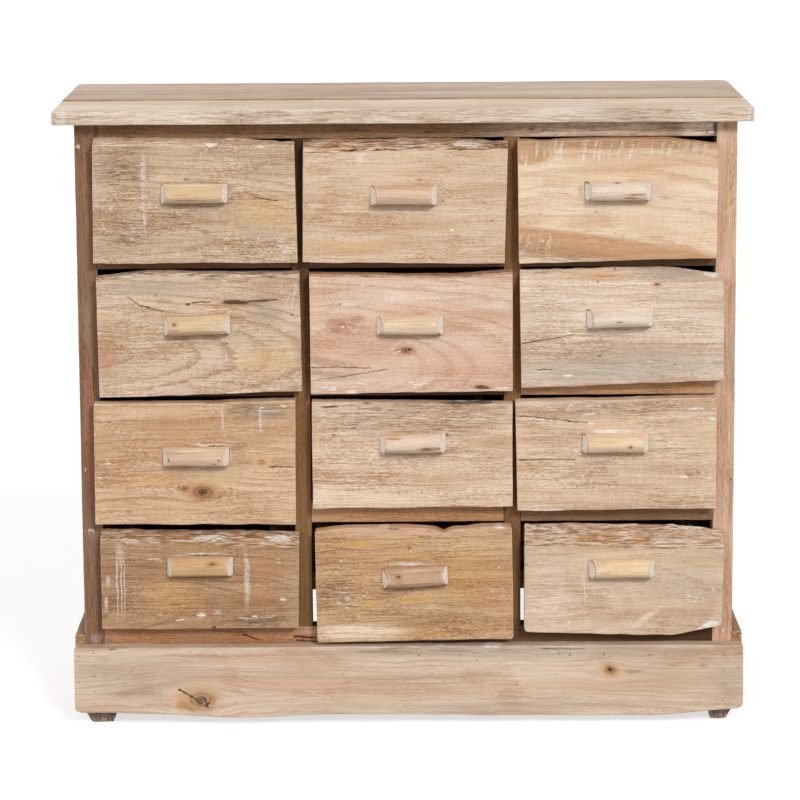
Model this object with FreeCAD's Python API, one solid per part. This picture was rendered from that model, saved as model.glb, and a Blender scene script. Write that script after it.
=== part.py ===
import FreeCAD, Part
import os

# Chest of drawers in reclaimed wood: four rows of three drawers on a framed carcass.
# Millimetres. X runs to the right, Y runs back from the drawers, Z is up from the floor.
# Rows count from the top and columns from the left.

Vector = FreeCAD.Vector

# Carcass frame
rows = 4
columns = 3
opening_width = 252.0
opening_height = 140.5
post_width = 27.0
front_post_depth = 40.0
rear_post_depth = 30.0
mullion_width = 22.0
rail_height = 28.0
rail_depth = 30.0
top_rail_height = 21.0
bottom_rail_height = 25.0
bottom_rail_top = 129.0
rear_rail_depth = 22.0
carcass_depth = 340.0

# Boards of the sides and the back
side_board_count = 4
side_board_thickness = 15.0
side_board_inset = 5.0
side_groove_depth = 8.0
groove_clearance = 0.2
board_gap = 0.6
back_board_count = 6
back_board_thickness = 12.0
back_bottom = 97.0
side_bottom = 100.0

# Top: three boards glued edge to edge
top_thickness = 20.0
top_front_overhang = 26.0
top_rear_overhang = 4.0
top_left_overhang = 26.5
top_right_overhang = 19.5
front_board_left_width = 139.0
front_board_right_width = 127.0
middle_board_width = 142.0
middle_board_end_setback = 1.5
rear_board_end_setback = 1.0
front_corner_radius = 8.0
rear_corner_radius = 16.0

# Plinth and feet
plinth_thickness = 25.0
plinth_top = 108.0
plinth_side_thickness = 13.0
plinth_side_rise = 11.0
plinth_side_bottom = 20.0
plinth_side_setback = 10.0
plinth_bottom_heights = (20.0, 17.0, 12.0, 16.0, 15.0, 13.0, 12.0, 12.5, 21.0)
plinth_corner_radius = 6.0
foot_height = 26.0
foot_depth = 38.0
left_foot_width = 37.0
right_foot_width = 28.0
foot_taper = 9.0

# Brads that hold the front plinth board, as heights above the floor
nail_radius = 0.8
nail_hole_clearance = 0.1
nail_length = 40.0
nail_sink = 0.6
nails_in_left_post = (101.0, 83.0, 70.0, 49.0, 33.0)
nails_in_right_post = (93.0, 74.0, 56.0, 33.0)
nails_in_left_side = (97.0, 62.0)
nails_in_right_side = (96.0, 77.0, 56.0)

# Drawers
front_thickness = 20.0
front_gap = 0.3
box_side_clearance = 25.0
box_top_clearance = 12.0
box_rear_clearance = 24.0
box_side_thickness = 10.0
box_back_thickness = 10.0
box_back_drop = 6.0
box_bottom_thickness = 6.0
box_bottom_rise = 9.0
box_groove_depth = 5.0
slide_clearance = 0.3

# Runners, an L-shaped strip under each side of each drawer box
runner_ledge = 11.0
tongue_width = 10.0
tongue_height = 7.0

# Handles, each a piece of split branch with its ends cut at a slant
handle_length = 86.0
handle_base = 26.0
handle_depth = 22.0
handle_bevel = 9.0
screw_spacing = 44.0
screw_radius = 2.0
screw_hole_clearance = 0.3
screw_head_radius = 4.0
screw_head_height = 2.6
screw_bite = 13.0


def front_shape(left, right, below, top, wane, handle):
    """Outline of one hand-sawn drawer front, in millimetres from the edges of its opening.

    left and right: overlap at the top and at the bottom corner.
    below: overlap over the rail below, at even steps from left to right.
    top: height above the opening's upper edge, at even steps from left to right.
    wane: how far the front arris lies below the rear one, at the same steps.
    handle: offset of the handle from the middle of the opening, across and up.
    """
    return {"left": left, "right": right, "below": below, "top": top, "wane": wane, "handle": handle}


front_shapes = {
    (1, 1): front_shape((2, 4), (5, 8), (18, 18), (3, 3, 2, 1, -4), (8, 7, 9, 8, 1), (2, 3)),
    (1, 2): front_shape((6, 8), (5, 1), (18, 21), (0, 0, 0, 0, -4), (11, 10, 8, 8, 4), (-3, -1)),
    (1, 3): front_shape((5, 3), (1, 0), (21, 15), (-2, -1, 0, 0, -8), (1, 1, 1, 2, 1), (-2, 3)),
    (2, 1): front_shape((1, -1), (10, 12), (25, 18), (-8, 0, -2, -3, -2), (1, 1, 1, 2, 3), (3, 0)),
    (2, 2): front_shape((0, -1), (11, 11), (22, 19), (-4, -5, -7, -7, -2), (1, 1, 1, 2, 1), (4, -1)),
    (2, 3): front_shape((2, 0), (9, 11), (16, 6), (-3, -2, 0, 0, -10), (17, 18, 20, 20, 8), (1, 7)),
    (3, 1): front_shape((7, 8), (3, 2), (25, 26), (-4, -4, -4, -2, -1), (1, 1, 1, 1, 1), (-1, -4)),
    (3, 2): front_shape((-2, -2), (11, 11), (5, 4), (-3, -4, -5, -6, -7), (1, 1, 1, 1, 1), (7, 12)),
    (3, 3): front_shape((8, 5), (2, 2), (10, 8), (-4, -3, -3, -1, -0.5), (1, 1, 1, 1, 1), (-4, 11)),
    (4, 1): front_shape((2, 2), (6, 4), (-3, -3), (-6, -7, -8, -9, -10), (11, 11, 11, 14, 16), (2, 18)),
    (4, 2): front_shape((-4, -6), (10, 12), (17, 13), (-7, -2, -2, -2, -6, -2, -2), (1,) * 7, (9, 2)),
    (4, 3): front_shape(
        (-4, -4), (14, 11), (4, 6, 8, 10, -3), (-3, -2, -3, -5, -12), (23, 23, 26, 25, 19), (5, 12)
    ),
}

# Places worked out from the sizes above
row_pitch = opening_height + rail_height
column_pitch = opening_width + mullion_width
frame_width = 2 * post_width + columns * opening_width + (columns - 1) * mullion_width
frame_top = bottom_rail_top + rows * opening_height + (rows - 1) * rail_height + top_rail_height
top_length = frame_width + top_left_overhang + top_right_overhang
top_depth = top_front_overhang + carcass_depth + top_rear_overhang
frame_left = -top_length / 2 + top_left_overhang
frame_right = frame_left + frame_width
handle_reach = front_gap + front_thickness + handle_depth - top_front_overhang
top_front = -(top_depth - handle_reach) / 2
frame_front = top_front + top_front_overhang
frame_rear = frame_front + carcass_depth
post_rear = frame_rear - back_board_thickness
bottom_rail_low = bottom_rail_top - bottom_rail_height
closed_plane = frame_front - front_gap
face_plane = closed_plane - front_thickness
box_length = post_rear - box_rear_clearance - closed_plane
box_height = opening_height - box_top_clearance


def box(x0, x1, y0, y1, z0, z1):
    return Part.makeBox(x1 - x0, y1 - y0, z1 - z0, Vector(x0, y0, z0))


def polygon(points):
    return Part.makePolygon(points + [points[0]])


def extruded(points, direction):
    return Part.Face(polygon(points)).extrude(direction)


def column_left(column):
    """Left edge of the openings in a column."""
    return frame_left + post_width + (column - 1) * column_pitch


def row_bottom(row):
    """Lower edge of the openings in a row."""
    return bottom_rail_top + (rows - row) * row_pitch


def save(name, solids):
    shape = solids[0] if len(solids) == 1 else Part.makeCompound(solids)
    shape.exportStep(os.path.join("parts", name + ".step"))


def nail_places():
    """X and Z of each brad in the front plinth board."""
    left_side = frame_left - plinth_side_thickness / 2
    right_side = frame_right + plinth_side_thickness / 2
    left_post = frame_left + post_width / 2
    right_post = frame_right - post_width / 2
    places = [(left_side, z) for z in nails_in_left_side]
    places += [(right_side, z) for z in nails_in_right_side]
    places += [(left_post, z) for z in nails_in_left_post]
    places += [(right_post, z) for z in nails_in_right_post]
    return places


def nail_rods(radius, front, length):
    rods = []
    for x, z in nail_places():
        rods.append(Part.makeCylinder(radius, length, Vector(x, front, z), Vector(0, 1, 0)))
    return rods


def nail_holes():
    radius = nail_radius + nail_hole_clearance
    front = frame_front - plinth_thickness - nail_sink
    length = nail_length + 2 * nail_sink + nail_hole_clearance
    return Part.makeCompound(nail_rods(radius, front, length))


def side_board_face(side):
    """X of the outer and the inner face of the boards on one side."""
    if side == "left":
        outer = frame_left + side_board_inset
        return outer, outer + side_board_thickness
    outer = frame_right - side_board_inset
    return outer, outer - side_board_thickness


def make_posts():
    posts = {}
    places = {"left": (frame_left, frame_left + post_width), "right": (frame_right - post_width, frame_right)}
    depths = {
        "front": (frame_front, frame_front + front_post_depth),
        "rear": (post_rear - rear_post_depth, post_rear),
    }
    for side, (x0, x1) in places.items():
        faces = sorted(side_board_face(side))
        groove_x = (faces[0] - groove_clearance, faces[1] + groove_clearance)
        groove_y = (
            frame_front + front_post_depth - side_groove_depth - groove_clearance,
            post_rear - rear_post_depth + side_groove_depth + groove_clearance,
        )
        groove = box(*groove_x, *groove_y, side_bottom - groove_clearance, frame_top)
        for end, (y0, y1) in depths.items():
            post = box(x0, x1, y0, y1, foot_height, frame_top).cut(groove)
            if end == "front":
                post = post.cut(nail_holes())
            posts["post_%s_%s" % (end, side)] = [post]
    return posts


def make_side_panel(side):
    """Boards that lie one above the other, their ends held in the posts' grooves."""
    x0, x1 = sorted(side_board_face(side))
    y0 = frame_front + front_post_depth - side_groove_depth
    y1 = post_rear - rear_post_depth + side_groove_depth
    pitch = (frame_top - side_bottom) / side_board_count
    boards = []
    for i in range(side_board_count):
        low = side_bottom + i * pitch
        high = low + pitch - (board_gap if i < side_board_count - 1 else 0)
        boards.append(box(x0, x1, y0, y1, low, high))
    return boards


def make_back_panel():
    """Upright boards nailed to the rear posts and the rear rails."""
    pitch = frame_width / back_board_count
    boards = []
    for i in range(back_board_count):
        x0 = frame_left + i * pitch
        x1 = x0 + pitch - (board_gap if i < back_board_count - 1 else 0)
        boards.append(box(x0, x1, post_rear, frame_rear, back_bottom, frame_top))
    return boards


def make_mullion(number):
    x0 = column_left(number) + opening_width
    top = frame_top - top_rail_height
    return [box(x0, x0 + mullion_width, frame_front, frame_front + rail_depth, bottom_rail_top, top)]


def make_full_rail(low, high):
    x0 = frame_left + post_width
    x1 = frame_right - post_width
    return [box(x0, x1, frame_front, frame_front + rail_depth, low, high)]


def make_row_rail(row):
    """The short rails under one row of openings, one in each column."""
    high = row_bottom(row)
    low = high - rail_height
    rails = []
    for column in range(1, columns + 1):
        x0 = column_left(column)
        rails.append(box(x0, x0 + opening_width, frame_front, frame_front + rail_depth, low, high))
    return rails


def rail_span(row):
    """Lowest and highest Z of the rails that carry one row of drawers."""
    high = row_bottom(row)
    return (bottom_rail_low if row == rows else high - rail_height), high


def make_rear_rails():
    spans = [rail_span(row) for row in range(1, rows + 1)]
    spans.append((frame_top - top_rail_height, frame_top))
    x0 = frame_left + post_width
    x1 = frame_right - post_width
    return [box(x0, x1, post_rear - rear_rail_depth, post_rear, low, high) for low, high in spans]


def make_runner(outer, inward, row):
    """One L-shaped strip. The box's side rides on its ledge, outside the tongue that guides it."""
    low, high = rail_span(row)
    ledge = outer + inward * runner_ledge
    inner = ledge + inward * tongue_width
    y = frame_front + rail_depth
    points = [
        Vector(outer, y, low),
        Vector(inner, y, low),
        Vector(inner, y, high + tongue_height),
        Vector(ledge, y, high + tongue_height),
        Vector(ledge, y, high),
        Vector(outer, y, high),
    ]
    return extruded(points, Vector(0, post_rear - rear_rail_depth - y, 0))


def make_runners():
    strips = []
    for row in range(1, rows + 1):
        for column in range(1, columns + 1):
            left = column_left(column) + box_side_clearance
            right = column_left(column) + opening_width - box_side_clearance
            strips.append(make_runner(left, 1, row))
            strips.append(make_runner(right, -1, row))
    return strips


def top_joint(x):
    """Y of the joint behind the front board, which isn't quite parallel to the edge."""
    share = (x + top_length / 2) / top_length
    return top_front + front_board_left_width + share * (front_board_right_width - front_board_left_width)


def make_top_board_front():
    x0, x1 = -top_length / 2, top_length / 2
    points = [
        Vector(x0, top_front, frame_top),
        Vector(x1, top_front, frame_top),
        Vector(x1, top_joint(x1), frame_top),
        Vector(x0, top_joint(x0), frame_top),
    ]
    board = extruded(points, Vector(0, 0, top_thickness))
    return [round_upright_edges(board, front_corner_radius, lambda y: y < top_front + 1)]


def middle_board_rear():
    return top_front + (front_board_left_width + front_board_right_width) / 2 + middle_board_width


def make_top_board_middle():
    x0 = -top_length / 2 + middle_board_end_setback
    x1 = top_length / 2 - middle_board_end_setback
    y1 = middle_board_rear()
    points = [
        Vector(x0, top_joint(x0) + board_gap / 2, frame_top),
        Vector(x1, top_joint(x1) + board_gap / 2, frame_top),
        Vector(x1, y1, frame_top),
        Vector(x0, y1, frame_top),
    ]
    return [extruded(points, Vector(0, 0, top_thickness))]


def make_top_board_rear():
    x0 = -top_length / 2 + rear_board_end_setback
    x1 = top_length / 2 - rear_board_end_setback
    y1 = top_front + top_depth
    board = box(x0, x1, middle_board_rear() + board_gap / 2, y1, frame_top, frame_top + top_thickness)
    return [round_upright_edges(board, rear_corner_radius, lambda y: y > y1 - 1)]


def round_upright_edges(board, radius, wanted):
    """Round the upright edges whose Y is wanted."""
    edges = []
    for edge in board.Edges:
        a, b = edge.Vertexes[0].Point, edge.Vertexes[-1].Point
        if abs(a.x - b.x) < 0.01 and abs(a.y - b.y) < 0.01 and wanted(a.y):
            edges.append(edge)
    return board.makeFillet(radius, edges)


def make_plinth_front():
    """Front board of the plinth, its lower edge left wavy by the saw."""
    x0 = frame_left - plinth_side_thickness
    x1 = frame_right + plinth_side_thickness
    y0 = frame_front - plinth_thickness
    steps = len(plinth_bottom_heights) - 1
    lower = [Vector(x0 + (x1 - x0) * i / steps, y0, z) for i, z in enumerate(plinth_bottom_heights)]
    points = lower + [Vector(x1, y0, plinth_top), Vector(x0, y0, plinth_top)]
    board = extruded(points, Vector(0, plinth_thickness, 0))
    corners = []
    for edge in board.Edges:
        a, b = edge.Vertexes[0].Point, edge.Vertexes[-1].Point
        at_end = min(abs(a.x - x0), abs(a.x - x1)) < 0.01 and abs(a.x - b.x) < 0.01
        if at_end and abs(a.z - b.z) < 0.01 and a.z < plinth_top - 1:
            corners.append(edge)
    return [board.makeFillet(plinth_corner_radius, corners).cut(nail_holes())]


def make_plinth_side(side):
    """Side board of the plinth, flush with the frame's front and higher than the front board."""
    x0, x1 = (frame_left - plinth_side_thickness, frame_left)
    if side == "right":
        x0, x1 = (frame_right, frame_right + plinth_side_thickness)
    y1 = frame_rear - plinth_side_setback
    board = box(x0, x1, frame_front, y1, plinth_side_bottom, plinth_top + plinth_side_rise)
    return [board.cut(nail_holes())]


def make_foot(side, end, width):
    """Rough block under a post, tapered on its outer side, down to the floor."""
    post_y = frame_front if end == "front" else post_rear - foot_depth
    outward = -1 if side == "left" else 1
    outer = frame_left if side == "left" else frame_right
    inner = outer - outward * width
    points = [
        Vector(outer, post_y, foot_height),
        Vector(inner, post_y, foot_height),
        Vector(inner, post_y, 0),
        Vector(outer - outward * foot_taper, post_y, 0),
        Vector(outer, post_y, foot_taper),
    ]
    return extruded(points, Vector(0, foot_depth, 0))


def make_feet():
    feet = []
    for side, width in (("left", left_foot_width), ("right", right_foot_width)):
        for end in ("front", "rear"):
            feet.append(make_foot(side, end, width))
    return feet


def make_nails():
    return nail_rods(nail_radius, frame_front - plinth_thickness + nail_sink, nail_length)


def front_outline(row, column, y, drop):
    """Corner points of one drawer front in the plane y. drop says how much of the wane is taken off."""
    shape = front_shapes[(row, column)]
    x_left = column_left(column)
    x_right = x_left + opening_width
    low = row_bottom(row)
    high = low + opening_height
    lower = []
    steps = len(shape["below"]) - 1
    x0, x1 = x_left - shape["left"][1], x_right + shape["right"][1]
    for i, overlap in enumerate(shape["below"]):
        lower.append(Vector(x0 + (x1 - x0) * i / steps, y, low - overlap))
    upper = []
    steps = len(shape["top"]) - 1
    x0, x1 = x_left - shape["left"][0], x_right + shape["right"][0]
    for i, (rise, wane) in enumerate(zip(shape["top"], shape["wane"])):
        upper.append(Vector(x0 + (x1 - x0) * i / steps, y, high + rise - drop * wane))
    return lower + upper[::-1]


def handle_middle(row, column):
    across, up = front_shapes[(row, column)]["handle"]
    return column_left(column) + opening_width / 2 + across, row_bottom(row) + opening_height / 2 + up


def screw_axes(row, column):
    x, z = handle_middle(row, column)
    return [(x - screw_spacing / 2, z), (x + screw_spacing / 2, z)]


def make_drawer_front(row, column):
    """Board with a live upper edge, bored for the two screws of its handle."""
    rear = polygon(front_outline(row, column, closed_plane, 0))
    face = polygon(front_outline(row, column, face_plane, 1))
    board = Part.makeLoft([rear, face], True, True)
    for x, z in screw_axes(row, column):
        radius = screw_radius + screw_hole_clearance
        start = Vector(x, face_plane - 1, z)
        board = board.cut(Part.makeCylinder(radius, front_thickness + 2, start, Vector(0, 1, 0)))
    return [board]


def make_drawer_box(row, column):
    """Two grooved sides, a back and a bottom, butted against the drawer front."""
    outer_left = column_left(column) + box_side_clearance
    outer_right = column_left(column) + opening_width - box_side_clearance
    low = row_bottom(row) + slide_clearance
    high = low + box_height
    rear = closed_plane + box_length
    groove_low = low + box_bottom_rise
    groove_high = groove_low + box_bottom_thickness + groove_clearance
    groove_depth = box_groove_depth + groove_clearance
    sides = []
    for outer, inward in ((outer_left, 1), (outer_right, -1)):
        inner = outer + inward * box_side_thickness
        floor = inner - inward * groove_depth
        points = [
            Vector(outer, closed_plane, low),
            Vector(inner, closed_plane, low),
            Vector(inner, closed_plane, groove_low),
            Vector(floor, closed_plane, groove_low),
            Vector(floor, closed_plane, groove_high),
            Vector(inner, closed_plane, groove_high),
            Vector(inner, closed_plane, high),
            Vector(outer, closed_plane, high),
        ]
        sides.append(extruded(points, Vector(0, box_length, 0)))
    inner_left = outer_left + box_side_thickness
    inner_right = outer_right - box_side_thickness
    back_low = groove_low + box_bottom_thickness
    back = box(inner_left, inner_right, rear - box_back_thickness, rear, back_low, high - box_back_drop)
    bottom_left = inner_left - box_groove_depth
    bottom_right = inner_right + box_groove_depth
    bottom = box(bottom_left, bottom_right, closed_plane, rear, groove_low, back_low)
    return sides + [back, bottom]


def make_handle(row, column):
    """Split branch, flat against the drawer front, with the two screws that hold it."""
    x, z = handle_middle(row, column)
    half = handle_length / 2
    tip = face_plane - handle_depth
    x0, x1 = x - half, x + half
    upper = Vector(x0, face_plane, z + handle_base / 2)
    lower = Vector(x0, face_plane, z - handle_base / 2)
    outline = Part.Wire([
        Part.Arc(lower, Vector(x0, tip, z), upper).toShape(),
        Part.makeLine(upper, lower),
    ])
    branch = Part.Face(outline).extrude(Vector(handle_length, 0, 0))
    for end, inward in ((x0, 1), (x1, -1)):
        wedge = [
            Vector(end, face_plane, z - handle_length),
            Vector(end + inward * handle_bevel * 2, face_plane - 2 * handle_depth, z - handle_length),
            Vector(end - inward * handle_depth, face_plane - 2 * handle_depth, z - handle_length),
            Vector(end - inward * handle_depth, face_plane, z - handle_length),
        ]
        branch = branch.cut(extruded(wedge, Vector(0, 0, 2 * handle_length)))
    pieces = [branch]
    for sx, sz in screw_axes(row, column):
        length = screw_bite + front_thickness
        shank_start = Vector(sx, face_plane - screw_bite, sz)
        head_start = Vector(sx, closed_plane, sz)
        shank = Part.makeCylinder(screw_radius, length, shank_start, Vector(0, 1, 0))
        head = Part.makeCylinder(screw_head_radius, screw_head_height, head_start, Vector(0, 1, 0))
        pieces[0] = pieces[0].cut(shank)
        pieces.append(shank.fuse(head).removeSplitter())
    return pieces


def main():
    os.makedirs("parts", exist_ok=True)
    save("top_board_front", make_top_board_front())
    save("top_board_middle", make_top_board_middle())
    save("top_board_rear", make_top_board_rear())
    for name, solids in make_posts().items():
        save(name, solids)
    save("side_panel_left", make_side_panel("left"))
    save("side_panel_right", make_side_panel("right"))
    save("back_panel", make_back_panel())
    save("mullion_left", make_mullion(1))
    save("mullion_right", make_mullion(2))
    save("rail_top", make_full_rail(frame_top - top_rail_height, frame_top))
    for row in range(1, rows):
        save("rail_row_%d" % row, make_row_rail(row))
    save("rail_bottom", make_full_rail(bottom_rail_low, bottom_rail_top))
    save("rear_rails", make_rear_rails())
    save("drawer_runners", make_runners())
    save("plinth_front", make_plinth_front())
    save("plinth_left", make_plinth_side("left"))
    save("plinth_right", make_plinth_side("right"))
    save("feet", make_feet())
    save("plinth_nails", make_nails())
    for row in range(1, rows + 1):
        for column in range(1, columns + 1):
            name = "drawer_r%dc%d_" % (row, column)
            save(name + "front", make_drawer_front(row, column))
            save(name + "box", make_drawer_box(row, column))
            save(name + "handle", make_handle(row, column))


main()
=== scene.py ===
import itertools
import math
import bmesh
import bpy
import numpy as np
from mathutils import Euler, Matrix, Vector


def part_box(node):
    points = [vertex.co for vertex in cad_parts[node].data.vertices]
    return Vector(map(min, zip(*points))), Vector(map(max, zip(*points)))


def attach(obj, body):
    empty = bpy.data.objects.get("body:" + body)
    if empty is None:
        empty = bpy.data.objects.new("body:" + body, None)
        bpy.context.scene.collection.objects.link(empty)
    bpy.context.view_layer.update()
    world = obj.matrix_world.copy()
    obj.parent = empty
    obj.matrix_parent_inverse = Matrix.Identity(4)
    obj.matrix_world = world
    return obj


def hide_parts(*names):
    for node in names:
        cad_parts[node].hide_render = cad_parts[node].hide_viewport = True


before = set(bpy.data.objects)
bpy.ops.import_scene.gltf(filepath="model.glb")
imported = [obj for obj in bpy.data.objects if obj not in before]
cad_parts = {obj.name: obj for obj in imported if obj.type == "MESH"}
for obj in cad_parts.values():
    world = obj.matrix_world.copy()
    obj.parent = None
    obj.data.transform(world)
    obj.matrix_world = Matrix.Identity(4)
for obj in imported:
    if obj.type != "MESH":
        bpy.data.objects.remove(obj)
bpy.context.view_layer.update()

# A chest of drawers in reclaimed wood. Sizes and places are in millimetres.
MM = 0.001
DRAWERS = list(itertools.product((1, 2, 3, 4), (1, 2, 3)))
# From the lower left corner of an opening to its drawer's box
BOX_SIDE_CLEARANCE = 25.0
SLIDE_CLEARANCE = 0.3


# Smooth noise for the shapes

CELL_FACTORS = (374761393, 668265263, 2246822519)
SEED_FACTOR = 3266489917
MIX_FACTOR = 1274126177
LOW_32_BITS = 0xFFFFFFFF
LOW_16_BITS = 0xFFFF


def hashed(cells, seed):
    """A fixed number from 0 to 1 for each whole-numbered cell."""
    mixed = (cells @ np.array(CELL_FACTORS) + seed * SEED_FACTOR) & LOW_32_BITS
    mixed = ((mixed ^ (mixed >> 13)) * MIX_FACTOR) & LOW_32_BITS
    return ((mixed ^ (mixed >> 16)) & LOW_16_BITS) / LOW_16_BITS


def noise(points, seed):
    """Smooth noise from -1 to 1 at each point, one unit from crest to crest."""
    base = np.floor(points).astype(np.int64)
    part = points - base
    part = part * part * (3 - 2 * part)
    total = np.zeros(len(points))
    for corner in itertools.product((0, 1), repeat=3):
        offset = np.array(corner)
        weight = np.prod(np.where(offset, part, 1 - part), axis=1)
        total += weight * hashed(base + offset, seed)
    return 2 * total - 1


def noise_of(x, y, z, seed):
    """Smooth noise at places given as three rows of numbers."""
    return noise(np.stack([x, y, z], 1), seed)


def line_noise(values, period, seed):
    """Smooth noise along one line."""
    return noise_of(values / period, values * 0, values * 0, seed)


# Meshes of boards

# Where a board's skin is cut near both ends, as far as that is within this share of its length
END_CUTS = (0.0, 0.6, 1.5, 3.0, 5.5, 9.0)
END_SHARE = 0.2
# How much longer the cells of the skin are along the grain, and how wear is drawn out along it
CELL_STRETCH = 2.2
WEAR_STRETCH = 0.35
# From crest to crest: chips and wear of the arrises, waves and ripples of the faces
CHIP_SPAN = 9
WEAR_SPAN = 16
WAVE_SPAN = 45
RIPPLE_SPAN = 8
# How far from an arris its worn colour reaches
EDGE_REACH = 1.4
# How far apart the grain of two boards of different seeds may start
GRAIN_SPREAD = (900, 400, 400)


def shares_along(length, step):
    """Rising shares from 0 to 1, close together near both ends, where a board is worn."""
    near = [cut for cut in END_CUTS if cut < END_SHARE * length]
    inner = length - 2 * near[-1]
    count = max(1, round(inner / step))
    middle = [near[-1] + inner * i / count for i in range(1, count)]
    places = near + middle + [length - cut for cut in reversed(near)]
    return np.array(places) / length


def box_skin(shares):
    """Places, as shares of each side, and quads of a closed box whose sides are cut at these shares."""
    counts = [len(s) for s in shares]
    outer = np.zeros(counts, bool)
    for axis in range(3):
        ends = np.moveaxis(outer, axis, 0)
        ends[0] = True
        ends[-1] = True
    number = np.full(counts, -1)
    number[outer] = np.arange(outer.sum())
    quads = []
    for axis in range(3):
        for end in (0, -1):
            face = np.moveaxis(number, axis, 0)[end]
            quad = np.stack([face[:-1, :-1], face[1:, :-1], face[1:, 1:], face[:-1, 1:]], -1).reshape(-1, 4)
            turned = (end == 0) != (axis == 1)
            quads.append(quad[:, ::-1] if turned else quad)
    lattice = np.indices(counts)
    places = np.stack([shares[axis][lattice[axis][outer]] for axis in range(3)], 1)
    return places, np.concatenate(quads).tolist()


def make_skin(points, faces, grain, edge=0.0, bark=0.0, tone=0.0):
    """A closed skin with the attributes that the woods read, each one number or one for each point."""
    skin = {"points": points, "faces": faces, "grain": grain}
    for key, value in (("edge", edge), ("bark", bark), ("tone", tone)):
        skin[key] = np.zeros(len(points)) + value
    return skin


def board(low, high, along, across, seed, wear=1.3, chips=2.0, wave=0.35, step=7.0, shape=None,
          origin=None, tone=0.0):
    """A sawn board between two corners, with worn and chipped arrises.

    along is the axis of the grain and across the axis of the board's width. shape turns shares of
    the board's box into places, for a board that isn't straight. origin is where the grain's
    coordinates start.
    """
    low, high = np.array(low, float), np.array(high, float)
    size = high - low
    steps = [step * (CELL_STRETCH if axis == along else 1.0) for axis in range(3)]
    places, quads = box_skin([shares_along(size[axis], steps[axis]) for axis in range(3)])
    flat = places * size
    second_gap = np.partition(np.minimum(flat, size - flat), 1, axis=1)[:, 1]
    stretch = np.ones(3)
    stretch[along] = WEAR_STRETCH
    where = (flat + low) * stretch
    chip = np.clip(noise(where / CHIP_SPAN, seed + 1) - 0.35, 0, 1) * chips * 2
    radius = wear * (0.8 + 0.5 * noise(where / WEAR_SPAN, seed)) + chip
    radius = np.minimum(radius, 0.45 * size.min())[:, None]
    inner = np.clip(flat, radius, size - radius)
    out = flat - inner
    out = out / np.maximum(np.linalg.norm(out, axis=1, keepdims=True), 1e-9)
    bumps = wave * (noise(where / WAVE_SPAN, seed + 2) + 0.4 * noise(where / RIPPLE_SPAN, seed + 3) - 0.7)
    flat = np.clip(inner + out * (radius + bumps[:, None]), 0, size)
    points = shape(flat / size) if shape else low + flat
    if origin is None:
        origin = low - hashed(np.arange(9).reshape(3, 3), seed) * np.array(GRAIN_SPREAD)
    order = [along, across, 3 - along - across]
    grain = (points - np.array(origin, float))[:, order]
    return make_skin(points, quads, grain, edge=np.exp(-second_gap / EDGE_REACH), tone=tone)


def piece(name, skins, material, body, nodes=()):
    """One object made of these skins, riding on a body and standing for CAD nodes."""
    points, faces, start = [], [], 0
    for skin in skins:
        points.append(skin["points"] * MM)
        faces += [[i + start for i in face] for face in skin["faces"]]
        start += len(skin["points"])
    mesh = bpy.data.meshes.new(name)
    mesh.from_pydata(np.concatenate(points).tolist(), [], faces)
    for key in ("grain", "edge", "bark", "tone"):
        kind, field = ("FLOAT_VECTOR", "vector") if key == "grain" else ("FLOAT", "value")
        values = np.concatenate([skin[key].ravel() for skin in skins]).astype(np.float32)
        mesh.attributes.new(key, kind, "POINT").data.foreach_set(field, values)
    mesh.shade_smooth()
    mesh.materials.append(material)
    made = bpy.data.objects.new(name, mesh)
    bpy.context.scene.collection.objects.link(made)
    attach(made, body)
    if nodes:
        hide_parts(*nodes)


def carcass_board(node, skin, wood):
    """One board of the carcass in place of its CAD node."""
    piece(node + "_board", [skin], wood.owner, "carcass", [node])


def drawer_body(row, column):
    return "drawer_r%dc%d" % (row, column)


def corners(node):
    """Lowest and highest corner of a CAD node."""
    low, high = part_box(node)
    return np.array(low) / MM, np.array(high) / MM


def solids(node):
    """Lowest and highest corner of each separate solid of a CAD node, sorted from left to right."""
    work = bmesh.new()
    work.from_mesh(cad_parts[node].data)
    bmesh.ops.remove_doubles(work, verts=work.verts, dist=1e-5)
    unseen = set(work.verts)
    boxes = []
    while unseen:
        reach = [unseen.pop()]
        found = []
        while reach:
            vertex = reach.pop()
            found.append(tuple(vertex.co))
            for edge in vertex.link_edges:
                other = edge.other_vert(vertex)
                if other in unseen:
                    unseen.remove(other)
                    reach.append(other)
        found = np.array(found) / MM
        boxes.append((found.min(0), found.max(0)))
    work.free()
    return sorted(boxes, key=lambda b: tuple(np.round(b[0], 2)))


def outline(node, plane, keep):
    """X and Z of a CAD board's outline corners in the plane y, from left to right."""
    points = np.array([v.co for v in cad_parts[node].data.vertices]) / MM
    points = points[(abs(points[:, 1] - plane) < 0.05) & keep(points[:, 2])]
    points = np.unique(np.round(points[:, [0, 2]], 2), axis=0)
    return points[:, 0], points[:, 1]


def follow(line, x, blur=9.0):
    """Height of an outline at each x, with its corners eased."""
    total = np.zeros(len(x))
    for shift in (-blur, -blur / 2, 0, blur / 2, blur):
        total += np.interp(x + shift, *line)
    return total / 5


# Shader graphs

class Field:
    """The output of a shader node, with arithmetic that adds the nodes it needs."""

    def __init__(self, graph, socket):
        self.graph = graph
        self.socket = socket

    def __add__(self, other):
        return self.graph.math("ADD", self, other)

    def __sub__(self, other):
        return self.graph.math("SUBTRACT", self, other)

    def __rsub__(self, other):
        return self.graph.math("SUBTRACT", other, self)

    def __mul__(self, other):
        return self.graph.math("MULTIPLY", self, other)

    def clamped(self):
        return self.graph.math("ADD", self, 0.0, use_clamp=True)

    __radd__ = __add__
    __rmul__ = __mul__


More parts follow.
